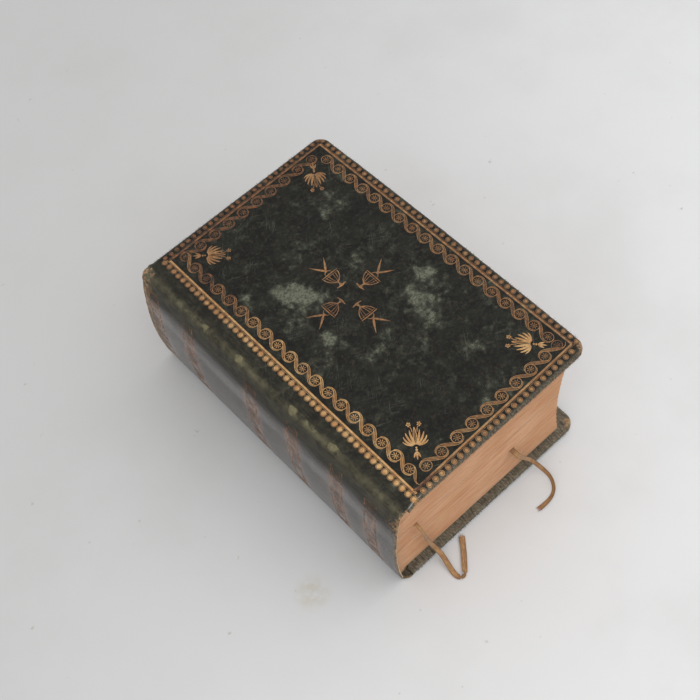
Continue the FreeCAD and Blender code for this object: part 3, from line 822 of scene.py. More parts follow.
def make_skin(name, columns, side, closed_fore):
    """A closed skin over a grid of columns and rows: an outer face, an inner face and the edge
    between them, which runs round the head, the tail and, on a cover, the fore-edge."""
    pairs = [skin_pair(column, y0, side) for y0 in skin_rows for column in columns]
    points = [pair[0] for pair in pairs] + [pair[1] for pair in pairs]
    inside_by = [pair[2] for pair in pairs] * 2
    rim = [0.0] * len(pairs) + [0.9] * len(pairs)
    count, rows, total, levels = len(columns), len(skin_rows), len(pairs), 6
    faces = grid_faces(rows, count) + grid_faces(rows, count, start=total)
    tail_side, head_side = list(range(count)), [(rows - 1) * count + step for step in range(count)]
    fore_side = [row * count + count - 1 for row in range(1, rows)]
    borders = [tail_side + fore_side + head_side[-2::-1]] if closed_fore else [tail_side, head_side]
    ends = {}
    for border in borders:
        rings = [border]
        for level in range(1, levels):
            share, ring = level / levels, []
            for index in border:
                first, last = Vector(points[index]), Vector(points[index + total])
                step = Vector((0.0, 0.0, 0.0))
                if columns[index % count][0][0] > joint_mm + 1.5:
                    row, column = divmod(index, count)
                    nearer = Vector(points[min(max(row, 1), rows - 2) * count + min(column, count - 2)])
                    outwards = Vector((first.x - nearer.x, first.y - nearer.y, 0.0)).normalized()
                    bump = noise.noise((first.x * 0.4, first.y * 0.4, share))
                    step = outwards * (0.2 * math.sin(math.pi * share) + 0.1 * bump)
                ring.append(len(points))
                points.append(tuple(first.lerp(last, share) + step))
                inside_by.append(0.0)
                rim.append(1.0)
            rings.append(ring)
        rings.append([index + total for index in border])
        for first, second in zip(rings, rings[1:]):
            faces += [(first[step], first[step + 1], second[step + 1], second[step])
                      for step in range(len(border) - 1)]
        for place_in_ring in (0, -1):
            ends[border[place_in_ring]] = [ring[place_in_ring] for ring in rings]
    for column in (0,) if closed_fore else (0, count - 1):
        for row in range(rows - 1):
            near, far = row * count + column, (row + 1) * count + column
            near_end, far_end = (ends.get(index, [index, index + total]) for index in (near, far))
            faces.append(tuple(near_end) + tuple(far_end[::-1]))
    if side == "back":
        points = [(x, y, 2 * middle_mm - z) for x, y, z in points]
    piece = new_piece(name, points, faces)
    piece.data.set_sharp_from_angle(angle=math.radians(50))
    keep_rest(piece)
    return piece, np.array(points), np.array(inside_by), np.array(rim)


scratches, given, out = new_group("scratches", [
    ("Place", "NodeSocketVector", None), ("Turn", "NodeSocketFloat", 0.0),
    ("Spacing", "NodeSocketFloat", 0.5), ("Width", "NodeSocketFloat", 0.012)], "Mask")
turned = add(scratches, "ShaderNodeVectorRotate", {"Vector": given["Place"], "Angle": given["Turn"]},
             rotation_type="Z_AXIS").outputs[0]
drawn = cloudy(scratches, stretched(scratches, turned, (1.0, 0.045, 0.3)), given["Spacing"], 2.0)
line = maths(scratches, "ABSOLUTE", minus(scratches, drawn, 0.5))
line = maths(scratches, "MINIMUM", maths(scratches, "DIVIDE", line, given["Width"]), 1.0)
broken = cloudy(scratches, given["Place"], 0.12, 2.0)
line = times(scratches, minus(scratches, 1.0, line), span(scratches, broken, 0.50, 0.64))
scratches.links.new(line, out["Mask"])

hide_grain, given, out = new_group("hide_grain", [
    ("Place", "NodeSocketVector", None), ("Fineness", "NodeSocketFloat", 1.6)], "Height")
pores = add(hide_grain, "ShaderNodeTexVoronoi", {"Vector": given["Place"], "Scale": given["Fineness"]},
            feature="SMOOTH_F1").outputs["Distance"]
creases = cloudy(hide_grain, given["Place"], given["Fineness"], 4.0, 0.65)
hide_grain.links.new(plus(hide_grain, times(hide_grain, pores, 0.55), creases), out["Height"])


def rim_free(tree, rim_mark, polish_and_highlight):
    """1 on the open face of a cover, 0 on its edges and on the polished spine."""
    return times(tree, minus(tree, 1.0, rim_mark), minus(tree, 1.0, polish_and_highlight))


def hide_material(name, shine):
    """Dark green sheepskin. Attributes on the skins say where it is worn, rubbed, scuffed or polished, and
    where highlight, glint or shade is painted in.
    """
    material, tree, shader, place = new_material(name, rest=True)
    labels = ("worn", "rubbed", "scuffed", "polish_and_highlight", "rim", "shaded", "painted_glint", "ruled", "crest")
    worn, rubbed, scuffed, polish_and_highlight, rim_mark, shaded, painted_glint, ruled, crest = (
        painted(tree, label) for label in labels)
    gloss = maths(tree, "MINIMUM", polish_and_highlight, 1.0)

    def spread(scale, low, high):
        return use(tree, patches, Place=place, Scale=scale, Low=low, High=high)

    # Dyed skin, paler and greyer where it is dusty, hazed and scuffed.
    colour = mixed(tree, spread(0.13, 0.40, 0.64), (0.0045, 0.0042, 0.0030), (0.0112, 0.0116, 0.0078))
    dust = spread(0.75, 0.48, 0.66)
    colour = mixed(tree, times(tree, dust, 0.32), colour, (0.036, 0.038, 0.027))
    cloud = cloudy(tree, place, 0.22, 7.0, 0.66)
    field = plus(tree, cloud, times(tree, scuffed, 0.30))
    drift = times(tree, spread(0.05, 0.44, 0.66), 0.10)
    field = plus(tree, field, times(tree, drift, rim_free(tree, rim_mark, gloss)))
    haze, crisp = span(tree, field, 0.55, 0.76), span(tree, field, 0.67, 0.84)
    speck = span(tree, spread(1.3, 0.36, 0.60), 0.0, 1.0, 0.60, 1.0)
    haze_share = times(tree, times(tree, haze, speck), 0.58)
    colour = mixed(tree, haze_share, colour, (0.062, 0.067, 0.046))
    crisp_share = times(tree, times(tree, crisp, times(tree, speck, speck)), 0.62)
    colour = mixed(tree, crisp_share, colour, (0.205, 0.215, 0.155))
    marks = maths(tree, "MAXIMUM", use(tree, scratches, Place=place, Turn=0.65, Spacing=0.60, Width=0.012),
                  use(tree, scratches, Place=place, Turn=2.1, Spacing=0.50, Width=0.010))
    hatch = use(tree, scratches, Place=place, Turn=1.25, Spacing=1.1, Width=0.022)
    marks = maths(tree, "MAXIMUM", marks, times(tree, hatch, 0.55))
    colour = mixed(tree, times(tree, marks, 0.40), colour, (0.120, 0.128, 0.095))

    # The polished spine, with a painted highlight along its face and the pinkish brown bands that the gold
    # has left.
    spine_tone = mixed(tree, spread(0.12, 0.38, 0.66), (0.030, 0.027, 0.025), (0.082, 0.070, 0.062))
    # Painted highlight: where the polish attribute runs above 1, the spine's colour is lightened towards pale
    # grey.
    painted_highlight = times(tree, span(tree, polish_and_highlight, 1.0, 1.8), 0.5)
    spine_tone = mixed(tree, painted_highlight, spine_tone, (0.200, 0.195, 0.190))
    smear_place = stretched(tree, place, (1.0, 1.0, 0.3))
    smear = use(tree, patches, Place=smear_place, Scale=0.34, Low=0.36, High=0.60)
    band_share = times(tree, ruled, plus(tree, times(tree, smear, 0.6), 0.15))
    spine_tone = mixed(tree, band_share, spine_tone, (0.300, 0.180, 0.128))
    colour = mixed(tree, gloss, colour, spine_tone)

    # Skin rubbed to olive and yellow along the ridge beside the joint.
    streaks = cloudy(tree, stretched(tree, place, (2.6, 0.16, 2.6)), 1.0, 4.0, 0.72)
    olive = mixed(tree, span(tree, streaks, 0.44, 0.66), (0.0105, 0.0092, 0.0062), (0.066, 0.058, 0.034))
    blotch = spread(0.30, 0.36, 0.66)
    olive = mixed(tree, times(tree, blotch, 0.60), olive, (0.078, 0.072, 0.044))
    olive_share = times(tree, rubbed, span(tree, dust, 0.0, 1.0, 0.7, 1.0))
    colour = mixed(tree, maths(tree, "MINIMUM", olive_share, 1.0), colour, olive)
    crest_share = times(tree, crest, plus(tree, times(tree, blotch, 0.5), times(tree, speck, 0.35)))
    colour = mixed(tree, crest_share, colour, (0.140, 0.128, 0.078))
    broken = plus(tree, rubbed, times(tree, minus(tree, cloud, 0.5), 5.0))
    yellow_share = times(tree, span(tree, broken, 1.15, 1.8), span(tree, rubbed, 0.95, 1.2))
    colour = mixed(tree, times(tree, yellow_share, speck), colour, (0.185, 0.165, 0.090))
    # Painted shade: the skin is darkened under the ridge and along the foot of the spine by the table, and at
    # a small nick.
    colour = mixed(tree, times(tree, shaded, 0.85), colour, (0.0085, 0.0068, 0.0062))

    # The napped edges of the covers, with the remains of an edge roll.
    nap = cloudy(tree, stretched(tree, place, (2.4, 0.42, 0.42)), 1.0, 5.0, 0.7)
    edge_roll = banded(tree, stretched(tree, place, (1.0, 1.0, 0.7)), 0.33, "DIAGONAL", 1.2)
    rim_colour = mixed(tree, span(tree, nap, 0.38, 0.62), (0.066, 0.054, 0.038), (0.235, 0.200, 0.145))
    rim_colour = mixed(tree, times(tree, edge_roll, 0.35), rim_colour, (0.066, 0.062, 0.044))
    colour = mixed(tree, rim_mark, colour, rim_colour)

    # Bare skin where the surface has gone.
    bare = mixed(tree, spread(0.5, 0.35, 0.65), (0.170, 0.090, 0.046), (0.40, 0.260, 0.140))
    frayed = times(tree, minus(tree, spread(0.7, 0.38, 0.60), 0.5), 0.8)
    worn_share = span(tree, plus(tree, worn, frayed), 0.34, 0.80)
    colour = mixed(tree, worn_share, colour, bare)
    colour = mixed(tree, span(tree, worn, 1.2, 1.8), colour, (0.60, 0.46, 0.30))
    # Painted highlight: a pale grey glint along the rounded tail edge of the front cover.
    colour = mixed(tree, painted_glint, colour, (0.52, 0.53, 0.52))
    tree.links.new(colour, shader.inputs["Base Color"])

    roughness = plus(tree, 0.50, times(tree, crisp, 0.25))
    roughness = minus(tree, roughness, times(tree, gloss, 0.27))
    roughness = plus(tree, roughness, times(tree, maths(tree, "MAXIMUM", worn_share, rim_mark), 0.3))
    tree.links.new(roughness, shader.inputs["Roughness"])
    shader.inputs["Specular IOR Level"].default_value = shine
    grain = use(tree, hide_grain, Place=place, Fineness=1.5)
    grain = times(tree, grain, span(tree, polish_and_highlight, 0.0, 1.0, 1.0, 0.16))
    relief = minus(tree, grain, times(tree, marks, 0.5))
    relief = plus(tree, relief, times(tree, maths(tree, "MINIMUM", rubbed, 1.0), times(tree, streaks, 1.3)))
    relief = plus(tree, relief, times(tree, rim_mark, times(tree, nap, 2.6)))
    set_bump(tree, shader, relief, 0.00018, 0.8)
    return material


matt_hide = hide_material("green_hide", 0.2)
half_shiny_hide = hide_material("half_polished_hide", 0.34)
shiny_hide = hide_material("polished_hide", 0.5)


def bell(distance, width):
    """1 at the middle of a mark, falling away softly on both sides."""
    return np.exp(-(distance / width) ** 2)


def ramp(distance, width):
    """0 up to a line, and 1 from a width beyond it."""
    return np.clip(distance / width, 0, 1)


def near(points, x, y, size_x, size_y):
    """A soft spot on a face, 1 at its middle."""
    return bell(points[:, 0] - x, size_x) * bell(points[:, 1] - y, size_y)


# Scuffs on a cover: x, y, size along x and along y, and strength.
scuffs = (
    (-7.0, 15.0, 6.5, 5.0, 1.0), (-15.0, 25.0, 5.0, 5.0, 0.85), (-13.0, 19.0, 5.0, 4.0, 0.9),
    (-16.0, -3.5, 3.2, 2.8, 0.95), (23.0, -13.0, 9.0, 8.0, 0.62), (32.0, -8.0, 5.0, 6.0, 0.75),
    (20.0, -21.0, 6.0, 6.0, 0.55), (21.0, -44.5, 3.4, 3.0, 0.9), (-6.0, -20.0, 8.0, 5.0, 0.5),
    (26.0, 42.0, 7.0, 4.0, 0.55), (5.0, 34.0, 9.0, 5.0, 0.45), (13.0, 14.0, 4.0, 4.0, 0.5),
    (-26.5, 32.5, 2.6, 1.6, 1.0), (33.0, 6.0, 5.0, 9.0, 0.40), (-22.0, 9.0, 4.0, 4.0, 0.6),
    (2.0, -32.0, 10.0, 4.0, 0.3),
)
# Yellow spots beside the joint: y, size and strength.
yellow_spots = ((13.0, 2.0, 1.0), (-16.5, 2.6, 0.9), (-25.0, 4.5, 0.55), (-39.6, 2.2, 1.2), (33.0, 2.0, 0.6))
spine_band_middles = (65.5, 44.0, 5.5, -18.5, -43.0, -61.0)
# Each band on the spine is two smears beside its middle and a faint one over both.
band_smears = ((-2.5, 1.9, 0.80), (2.4, 1.7, 0.62), (0.3, 4.6, 0.30))


def wear_and_painted_light(piece, points, inside_by, rim, side):
    """Wear on a skin: bare corners and caps, a rubbed ridge by the joint, and scuffs on the cover; also
    painted shade, highlight and glint.
    """
    x, y, z = points.T
    level, at_head = own_level(z, side), y > 0
    on_cover, on_spine = ramp(x - joint_mm, 1.5), ramp(joint_mm + 0.6 - x, 0.8)
    face, upper_face = ramp(level - (cover_high[2] - 1.2), 0.5), ramp(level - 54.0, 3.0)
    wander = np.array([noise.noise((0.0, row * 0.06, 4.0)) for row in y]) * 2.2

    to_end = np.where(at_head, 73.6 - y, y + 74.8).clip(0)
    cap = on_spine * bell(to_end, np.where(at_head, 5.0, 0.9))
    corner = bell(np.hypot(x - 48.6, np.abs(y + 0.6) - 72.6), np.where(at_head, 1.4, 2.4))
    bare_tail = on_spine * (y < 0) * bell(y + 73.5, 3.4) * bell(z - 54.0, 4.6)
    worn = 0.46 * bare_tail + np.where(at_head, 0.5, 1.35) * corner + np.where(at_head, 0.70, 0.78) * cap
    worn += 0.10 * bell(inside_by, 0.5) * on_cover + 1.6 * on_spine * (rim > 0.95)
    paint(piece, "worn", worn)

    ridge_level = 57.0 if side == "back" else 48.5
    ridge = bell((x - (joint_mm - 1.5)).clip(0), 1.25) * ramp(level - ridge_level - wander, 3.5)
    plain_strip = ramp(-39.2 - x, 1.6) * ramp(level - 57.0, 3.0) * (1 - ridge)
    yellowed = sum(near(points, joint_mm - 1.6, spot, 1.5, size) * share
                   for spot, size, share in yellow_spots)
    paint(piece, "rubbed", 0.95 * ridge + 0.42 * plain_strip + 0.4 * cap + 0.9 * yellowed * upper_face)
    crest = bell(x - (joint_mm - 2.4), 1.3) * upper_face * (0.7 + 0.3 * np.sin(y * 0.17))
    paint(piece, "crest", np.clip(crest, 0, 1))
    scuffed = sum(strength * near(points, *spot) for *spot, strength in scuffs)
    paint(piece, "scuffed", np.clip(scuffed, 0, 1) * face * on_cover)

    flat = ramp(joint_mm - 1.9 - x, 1.4) * ramp(52.5 + wander - z, 5.5) * ramp(z - 0.6, 4.4)
    # Painted highlight: a band along the polished face, lifting the polish value above 1 so that the colour
    # is lightened there.
    highlight = bell(z - 42.0 - wander, 4.0) * (0.75 + 0.25 * np.sin(y * 0.11))
    paint(piece, "polish_and_highlight", flat * (1 - 0.8 * cap) * (1 + 0.9 * highlight))
    slant = 0.03 * (z - 30)
    bands = sum(share * bell(y - middle - offset - slant, width)
                for middle in spine_band_middles for offset, width, share in band_smears)
    paint(piece, "ruled", np.clip(bands, 0, 1) * on_spine)
    # Painted shade under the ridge and along the foot of the spine where it meets the table; the same
    # darkening marks a small nick.
    under_ridge = bell(z - 50.0 - wander, 2.6) * (0.72 + 0.28 * np.sin(y * 0.09 + 1.0))
    nick = bell(z - 28.0, 1.1) * bell(y + 16.0, 1.3)
    foot = ramp(3.4 - z, 1.8)
    paint(piece, "shaded", np.clip(on_spine * (under_ridge + 1.2 * nick + foot), 0, 1))

    lining_side = (rim > 0.8) & (rim < 0.95)
    edge_of_cover = on_cover * (rim + 0.75 * bell(inside_by, 0.9))
    paint(piece, "rim", np.clip(edge_of_cover + 0.9 * lining_side + 0.8 * cap * at_head, 0, 1))
    # Painted highlight: a thin glint along the rounded tail edge of the front cover, beside the spine.
    lit_edge = ramp(x + 43.6, 1.2) * ramp(-35.0 - x, 5.0) * (y < -70) * (rim == 0)
    paint(piece, "painted_glint", 0.6 * bell(inside_by - 0.5, 0.13) * face * lit_edge)


def cover_with_hide(piece):
    """The matt hide on the covers and the shiny one on the spine, with a half shiny one between
    them that wanders along the ridge."""
    for hide in (matt_hide, half_shiny_hide, shiny_hide):
        piece.data.materials.append(hide)
    shiny_from, shiny_to, step_mm = 2.6, 2 * middle_mm - 11.0, 2.4
    for face in piece.data.polygons:
        spot = face.center * 1000
        patchy = 3.2 * noise.noise((spot.y * 0.07, spot.z * 0.10, 7.0))
        inwards = min(shiny_to - spot.z + patchy, (spot.z - shiny_from) * 2.0 + patchy * 0.5)
        on_back = spot.x <= joint_mm - 0.5
        face.material_index = int(np.clip(inwards / step_mm + 1.0, 0, 2)) if on_back else 0


def edge_nap(side):
    """Loose fibres round a cover, where the skin is worn to a nap. Each is one narrow triangle."""
    draw = random.Random(5 if side == "front" else 6)
    half_width, rooted, apart_fore, apart_ends = 0.07, 0.2, 0.16, 0.10
    points, faces = [], []
    roots = [(fore_edge(y) - rooted, y, 1.0, 0.0) for y in np.arange(-69.0, 68.0, apart_fore)]
    for x in np.arange(joint_mm + 3.0, 45.5, apart_ends):
        roots += [(x, tail_edge(x, side) + rooted, 0.0, -1.0), (x, head_edge(x) - rooted, 0.0, 1.0)]
    for x, y, out_x, out_y in roots:
        level = own_level(cover_high[2] - draw.uniform(0.7, 3.3), side)
        length, lean = draw.uniform(0.4, 0.95), draw.uniform(-0.35, 0.35)
        tip = (x + out_x * length + lean * out_y, y + out_y * length + lean * out_x,
               level + draw.uniform(-0.25, 0.25))
        start = len(points)
        points += [(x - half_width * out_y, y - half_width * out_x, level),
                   (x + half_width * out_y, y + half_width * out_x, level), tip]
        faces.append((start, start + 1, start + 2))
    nap = new_piece(f"{side}_nap", points, faces, smooth=False)
    keep_rest(nap)
    paint(nap, "rim", np.ones(len(points)))
    nap.data.materials.append(matt_hide)
    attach(nap, f"{side}_cover")


for side, shoulder in (("front", 3.5), ("back", 3.1)):
    half = "upper" if side == "front" else "lower"
    skin, *shape = make_skin(f"{side}_hide", skin_columns(shoulder), side, closed_fore=True)
    wear_and_painted_light(skin, *shape, side)
    cover_with_hide(skin)
    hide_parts(f"{side}_cover_leather")
    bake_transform(skin)
    edge_nap(side)


# Spine leather. The same skin, glued tight to the rounded back, where handling has polished it to a
# smooth, dark and slightly purple brown. It flexes where the book is opened most often.
spine_angle = math.asin((seam_level - middle_mm) / spine_radius)
spine_columns = []
for angle in np.linspace(-spine_angle, spine_angle, 42):
    way = (-math.cos(angle), math.sin(angle))
    outer_point = (arc_x + spine_radius * way[0], middle_mm + spine_radius * way[1])
    inner_point = (outer_point[0] - way[0] * spine_thick, outer_point[1] - way[1] * spine_thick)
    spine_columns.append((outer_point, inner_point, way))
spine_hide, *shape = make_skin("spine_hide", spine_columns, "front", closed_fore=False)
wear_and_painted_light(spine_hide, *shape, "spine")
cover_with_hide(spine_hide)
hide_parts("spine_leather_upper", "spine_leather_lower")
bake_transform(spine_hide)


# Gilding of the covers. Gold leaf pressed into the leather with hot brass: a row of beads between two
# hair lines, one broad fillet, a roll of wheels joined by curling bands, a palmette in each corner and
# four urns about the middle. The gold has worn coppery and thin along the edges.
gold, tree, shader, place = new_material("worn_gold", rest=True)
thin = painted(tree, "thin")
rub = use(tree, patches, Place=place, Scale=0.50, Low=0.36, High=0.64)
speckle = use(tree, patches, Place=place, Scale=2.2, Low=0.38, High=0.60)
kept = minus(tree, 1.0, times(tree, thin, plus(tree, rub, 0.08)))
kept = times(tree, kept, minus(tree, 1.0, times(tree, speckle, 0.32)))
warm = use(tree, patches, Place=place, Scale=0.30, Low=0.40, High=0.62)
metal = mixed(tree, warm, (0.580, 0.300, 0.110), (0.760, 0.480, 0.210))
metal = mixed(tree, maths(tree, "MINIMUM", times(tree, thin, 1.3), 1.0), metal, (0.315, 0.134, 0.056))
tree.links.new(mixed(tree, kept, (0.034, 0.022, 0.015), metal), shader.inputs["Base Color"])
tree.links.new(times(tree, kept, 0.45), shader.inputs["Metallic"])
tree.links.new(minus(tree, 0.60, times(tree, kept, 0.18)), shader.inputs["Roughness"])
shader.inputs["Specular IOR Level"].default_value = 0.4
set_bump(tree, shader, use(tree, hide_grain, Place=place, Fineness=2.2), 0.00006, 0.6)

gold_lift = 0.05
gold_root = 0.16


class Gilding:
    """Gold on one surface, drawn flat as strokes and beads and then laid on the leather."""

    def __init__(self):
        self.points, self.faces, self.thin = [], [], []

    def stroke(self, line, widths, thin, closed=False):
        """A tapering line. Each station has two feet in the leather and two shoulders above it."""
        line = [Vector(point) for point in line]
        count, start = len(line), len(self.points)
        if not hasattr(widths, "__len__"):
            widths = [widths] * count
        for step, (here, width) in enumerate(zip(line, widths)):
            before = line[step - 1] if step or closed else here
            after = line[(step + 1) % count] if step < count - 1 or closed else here
            way = (after - before).normalized()
            side = Vector((-way.y, way.x)) * width / 2
            for offset, rise in ((side * 1.15, -gold_root), (side, gold_lift), (side * -1.0, gold_lift),
                                 (side * -1.15, -gold_root)):
                self.points.append((here.x + offset.x, here.y + offset.y, rise))
                self.thin.append(thin)
        for step in range(count if closed else count - 1):
            near, far = start + step * 4, start + (step + 1) % count * 4
            self.faces += [(near + a, near + (a + 1) % 4, far + (a + 1) % 4, far + a) for a in range(4)]
        if not closed:
            last = start + (count - 1) * 4
            self.faces += [(start, start + 1, start + 2, start + 3), (last, last + 1, last + 2, last + 3)]

    def bead(self, x, y, radius_x, radius_y, thin, dome=0.07, sides=12):
        """A low round dot."""
        start = len(self.points)
        for share, rise in ((1.08, -gold_root), (1.0, gold_lift * 0.6), (0.62, gold_lift + dome)):
            for step in range(sides):
                turn = 2 * math.pi * step / sides
                across, along = radius_x * share * math.cos(turn), radius_y * share * math.sin(turn)
                self.points.append((x + across, y + along, rise))
                self.thin.append(thin)
        self.faces += grid_faces(3, sides, ring=True, start=start)
        self.faces.append(tuple(start + 2 * sides + step for step in range(sides)))
        self.faces.append(tuple(start + step for step in range(sides)))

    def motif(self, draw, origin, turn, thin, size=1.0, squeeze=1.0):
        """A small tool impression, drawn about its own foot and then set down and turned."""
        tool = Gilding()
        draw(tool, thin)
        cos, sin, start = math.cos(turn) * size, math.sin(turn) * size, len(self.points)
        self.points += [(origin[0] + x * cos - y * squeeze * sin, origin[1] + x * sin + y * squeeze * cos, z)
                        for x, y, z in tool.points]
        self.faces += [tuple(start + index for index in face) for face in tool.faces]
        self.thin += tool.thin


def arc(x, y, radius, start, end, steps=14):
    return [on_circle(x, y, radius, turn) for turn in np.linspace(start, end, steps)]


def ring(x, y, radius, steps):
    """A full circle, without its first point again at the end."""
    return arc(x, y, radius, 0, 2 * math.pi * (steps - 1) / steps, steps)


def curve_through(*corners, steps=14):
    """A smooth line pulled towards its corners."""
    line = []
    for share in np.linspace(0, 1, steps):
        level = [Vector(corner) for corner in corners]
        while len(level) > 1:
            level = [a.lerp(b, share) for a, b in zip(level, level[1:])]
        line.append(level[0])
    return line


def petal(steps, widest):
    """The widths of a stroke that swells in the middle."""
    return [widest * (0.12 + abs(math.sin(math.pi * step / (steps - 1))) ** 0.8) for step in range(steps)]


def wheel(tool, thin):
    """A ringed rosette of eight spokes, a little longer than it is wide."""
    def oval(x, y):
        return x * 1.05, y * 0.94
    tool.stroke([oval(*spot) for spot in ring(0, 0, 2.06, 28)], 0.27, thin, closed=True)
    for spoke in range(8):
        turn = math.pi * (spoke + 0.5) / 4
        tool.stroke([oval(share * math.cos(turn), share * math.sin(turn)) for share in (0.34, 0.9, 1.46)],
                    (0.12, 0.30, 0.22), thin + 0.12)
    tool.bead(0, 0, 0.26, 0.26, thin, dome=0.03, sides=8)


def band(pitch):
    """The band that hugs the top of one wheel, crosses between the two and hugs the foot of the next."""
    def draw(tool, thin):
        reach, leave = 2.42, math.radians(60)
        first = arc(0, 0, reach, math.radians(150), leave, 9)
        onward = (math.sin(leave) * 1.5, -math.cos(leave) * 1.5)
        crossing = curve_through(first[-1], (first[-1][0] + onward[0], first[-1][1] + onward[1]),
                                 (pitch - first[-1][0] - onward[0], -first[-1][1] - onward[1]),
                                 (pitch - first[-1][0], -first[-1][1]), steps=14)
        line = [Vector(spot) for spot in first[:-1]] + crossing
        line += [Vector((pitch - x, -y)) for x, y in first[-2::-1]]
        steps = len(line)
        sides = ([], [])
        for step, here in enumerate(line):
            way = (line[min(step + 1, steps - 1)] - line[max(step - 1, 0)]).normalized()
            bulge = 0.03 + 0.54 * abs(math.sin(math.pi * step / (steps - 1))) ** 3.2
            for share in (0, 1):
                sides[share].append(here + Vector((-way.y, way.x)) * bulge * (2 * share - 1))
        widths = [0.13 + 0.13 * abs(math.sin(math.pi * step / (steps - 1))) for step in range(steps)]
        for shifted in sides:
            tool.stroke(shifted, widths, thin)
        tool.stroke(line[9:-9], petal(steps - 18, 0.44), thin + 0.22)
    return draw


# The petals on one side of a palmette: foot, bend and end of each, and its width.
palmette_petals = (
    ((4.9, 0.42), (7.6, 1.7), (10.9, 2.05), 0.88), ((4.75, 0.75), (7.0, 3.0), (9.9, 3.75), 0.86),
    ((4.6, 1.05), (5.9, 4.0), (8.3, 4.75), 0.80), ((4.5, 1.3), (4.9, 4.1), (6.4, 5.15), 0.60),
)


def palmette(tool, thin):
    """Three leaves at the foot, two knobs, eight petals about a midrib and two florets, along +X."""
    for end in ((-0.3, -1.35), (-1.3, 0.0), (-0.3, 1.35)):
        tool.stroke(curve_through((2.2, 0.0), (1.2, end[1] * 0.6), end, steps=8), petal(8, 0.72), thin)
    tool.bead(2.75, 0, 0.42, 0.55, thin, sides=10)
    tool.bead(3.65, 0, 0.40, 0.42, thin, sides=10)
    shares = [min(step / 11 * 0.92 + 0.08, 1.0) for step in range(12)]
    blunt = [0.30 + 0.70 * abs(math.sin(math.pi * share)) ** 0.9 for share in shares]
    blunt[-1] *= 0.25
    for side in (-1, 1):
        for *corners, width in palmette_petals:
            tool.stroke(curve_through(*((x, y * side) for x, y in corners), steps=12),
                        [width * share for share in blunt], thin)
        stalk = curve_through((10.0, 1.1 * side), (11.4, 1.0 * side), (12.2, 1.7 * side), steps=8)
        tool.stroke(stalk, 0.30, thin + 0.1)
        for leaf in range(5):
            x, y = on_circle(13.1, 2.15, 0.66, math.pi * 2 / 5 * leaf + 0.5)
            tool.bead(x, y * side, 0.36, 0.36, thin + 0.05, sides=8)
        tool.bead(13.1, 2.15 * side, 0.24, 0.24, thin, sides=8)
        tool.stroke(curve_through((4.9, 0.2 * side), (8.0, 1.25 * side), (11.9, 0.0), steps=12), 0.34, thin)
    tool.stroke([(5.2, 0), (8.2, 0), (10.6, 0)], (0.12, 0.36, 0.12), thin + 0.25)


def urn(tool, thin):
    """A footed and ribbed urn that stands on a short bar, with two crossed blades above it."""
    tool.stroke([(4.0, -2.2), (3.8, 0.0), (4.0, 2.2)], (0.35, 0.80, 0.35), thin)
    tool.stroke([(4.3, 0), (5.2, 0), (6.1, 0)], (1.3, 0.45, 1.0), thin)
    for rib in (-1.0, -0.62, -0.28, 0.28, 0.62, 1.0):
        tool.stroke(curve_through((6.1, 0.4 * rib), (7.4, 3.0 * rib), (10.5, 3.5 * rib), steps=9),
                    0.34 if abs(rib) == 1 else 0.26, thin + (0.0 if abs(rib) == 1 else 0.15))
    tool.stroke([(11.0, -3.9), (11.1, 0.0), (11.0, 3.9)], (0.25, 0.5, 0.25), thin)
    tool.stroke([(10.2, -3.3), (10.25, 0.0), (10.2, 3.3)], (0.15, 0.26, 0.15), thin + 0.1)
    tool.stroke(arc(11.3, 0, 1.5, -math.pi / 2, math.pi / 2, 10), petal(10, 0.36), thin)
    tool.bead(12.9, 0, 0.45, 0.7, thin, sides=10)
    for side in (-1, 1):
        tool.stroke([(12.6, -0.4 * side), (14.4, 0.9 * side), (16.4, 2.3 * side), (18.8, 3.8 * side)],
                    (0.30, 0.95, 0.62, 0.10), thin)


# The corners of the fillet, set a little out of square by hand: spine and tail, fore-edge and tail,
# fore-edge and head, spine and head.
frame_corners = [Vector(corner) for corner in ((-36.8, -70.9), (46.35, -69.0), (45.45, 70.0), (-36.1, 68.2))]
side_count = 4
# For the tail, the fore-edge, the head and the spine side in turn: how thin the gold is at both ends,
# the pitch and the size of the beads, and the inset, number, pitch and first place of the wheels.
side_thin = ((0.30, 0.42), (0.50, 0.50), (0.70, 0.80), (0.22, 0.02))
bead_pitch = (3.16, 3.2, 3.0, 2.98)
bead_size = (1.0, 0.95, 0.85, 1.0)
wheel_inset = (3.65, 3.75, 3.35, 4.8)
wheel_row = ((10, 7.80, 6.3), (18, 7.22, 4.5), (10, 7.55, 4.7), (18, 7.18, 5.2))
fillet_width, hair_line_width, hair_line_inset, bead_inset = 0.80, 0.20, -0.78, -2.15
line_steps = 40
# Where each corner palmette and each urn stands, the way it points in degrees and how thin its gold is.
palmettes = (((-26.6, -62.3), 52, 0.08), ((38.8, -62.0), 128, 0.14), ((36.0, 63.8), 236, 0.42),
             ((-27.4, 62.6), -42, 0.46))
urns = (((4.6, 5.4), 0, 0.56), ((4.0, 7.2), 90, 0.46), ((3.0, 5.8), 180, 0.60), ((2.2, 4.4), 270, 0.50))


def frame_side(number, inset):
    """One side of the frame, moved in from the fillet: its two ends."""
    ends = []
    for corner in (number, (number + 1) % side_count):
        before, here, after = (frame_corners[(corner + step) % side_count] for step in (-1, 0, 1))
        to_before, to_after = (before - here).normalized(), (after - here).normalized()
        ends.append(here + (to_before + to_after) * inset)
    return ends


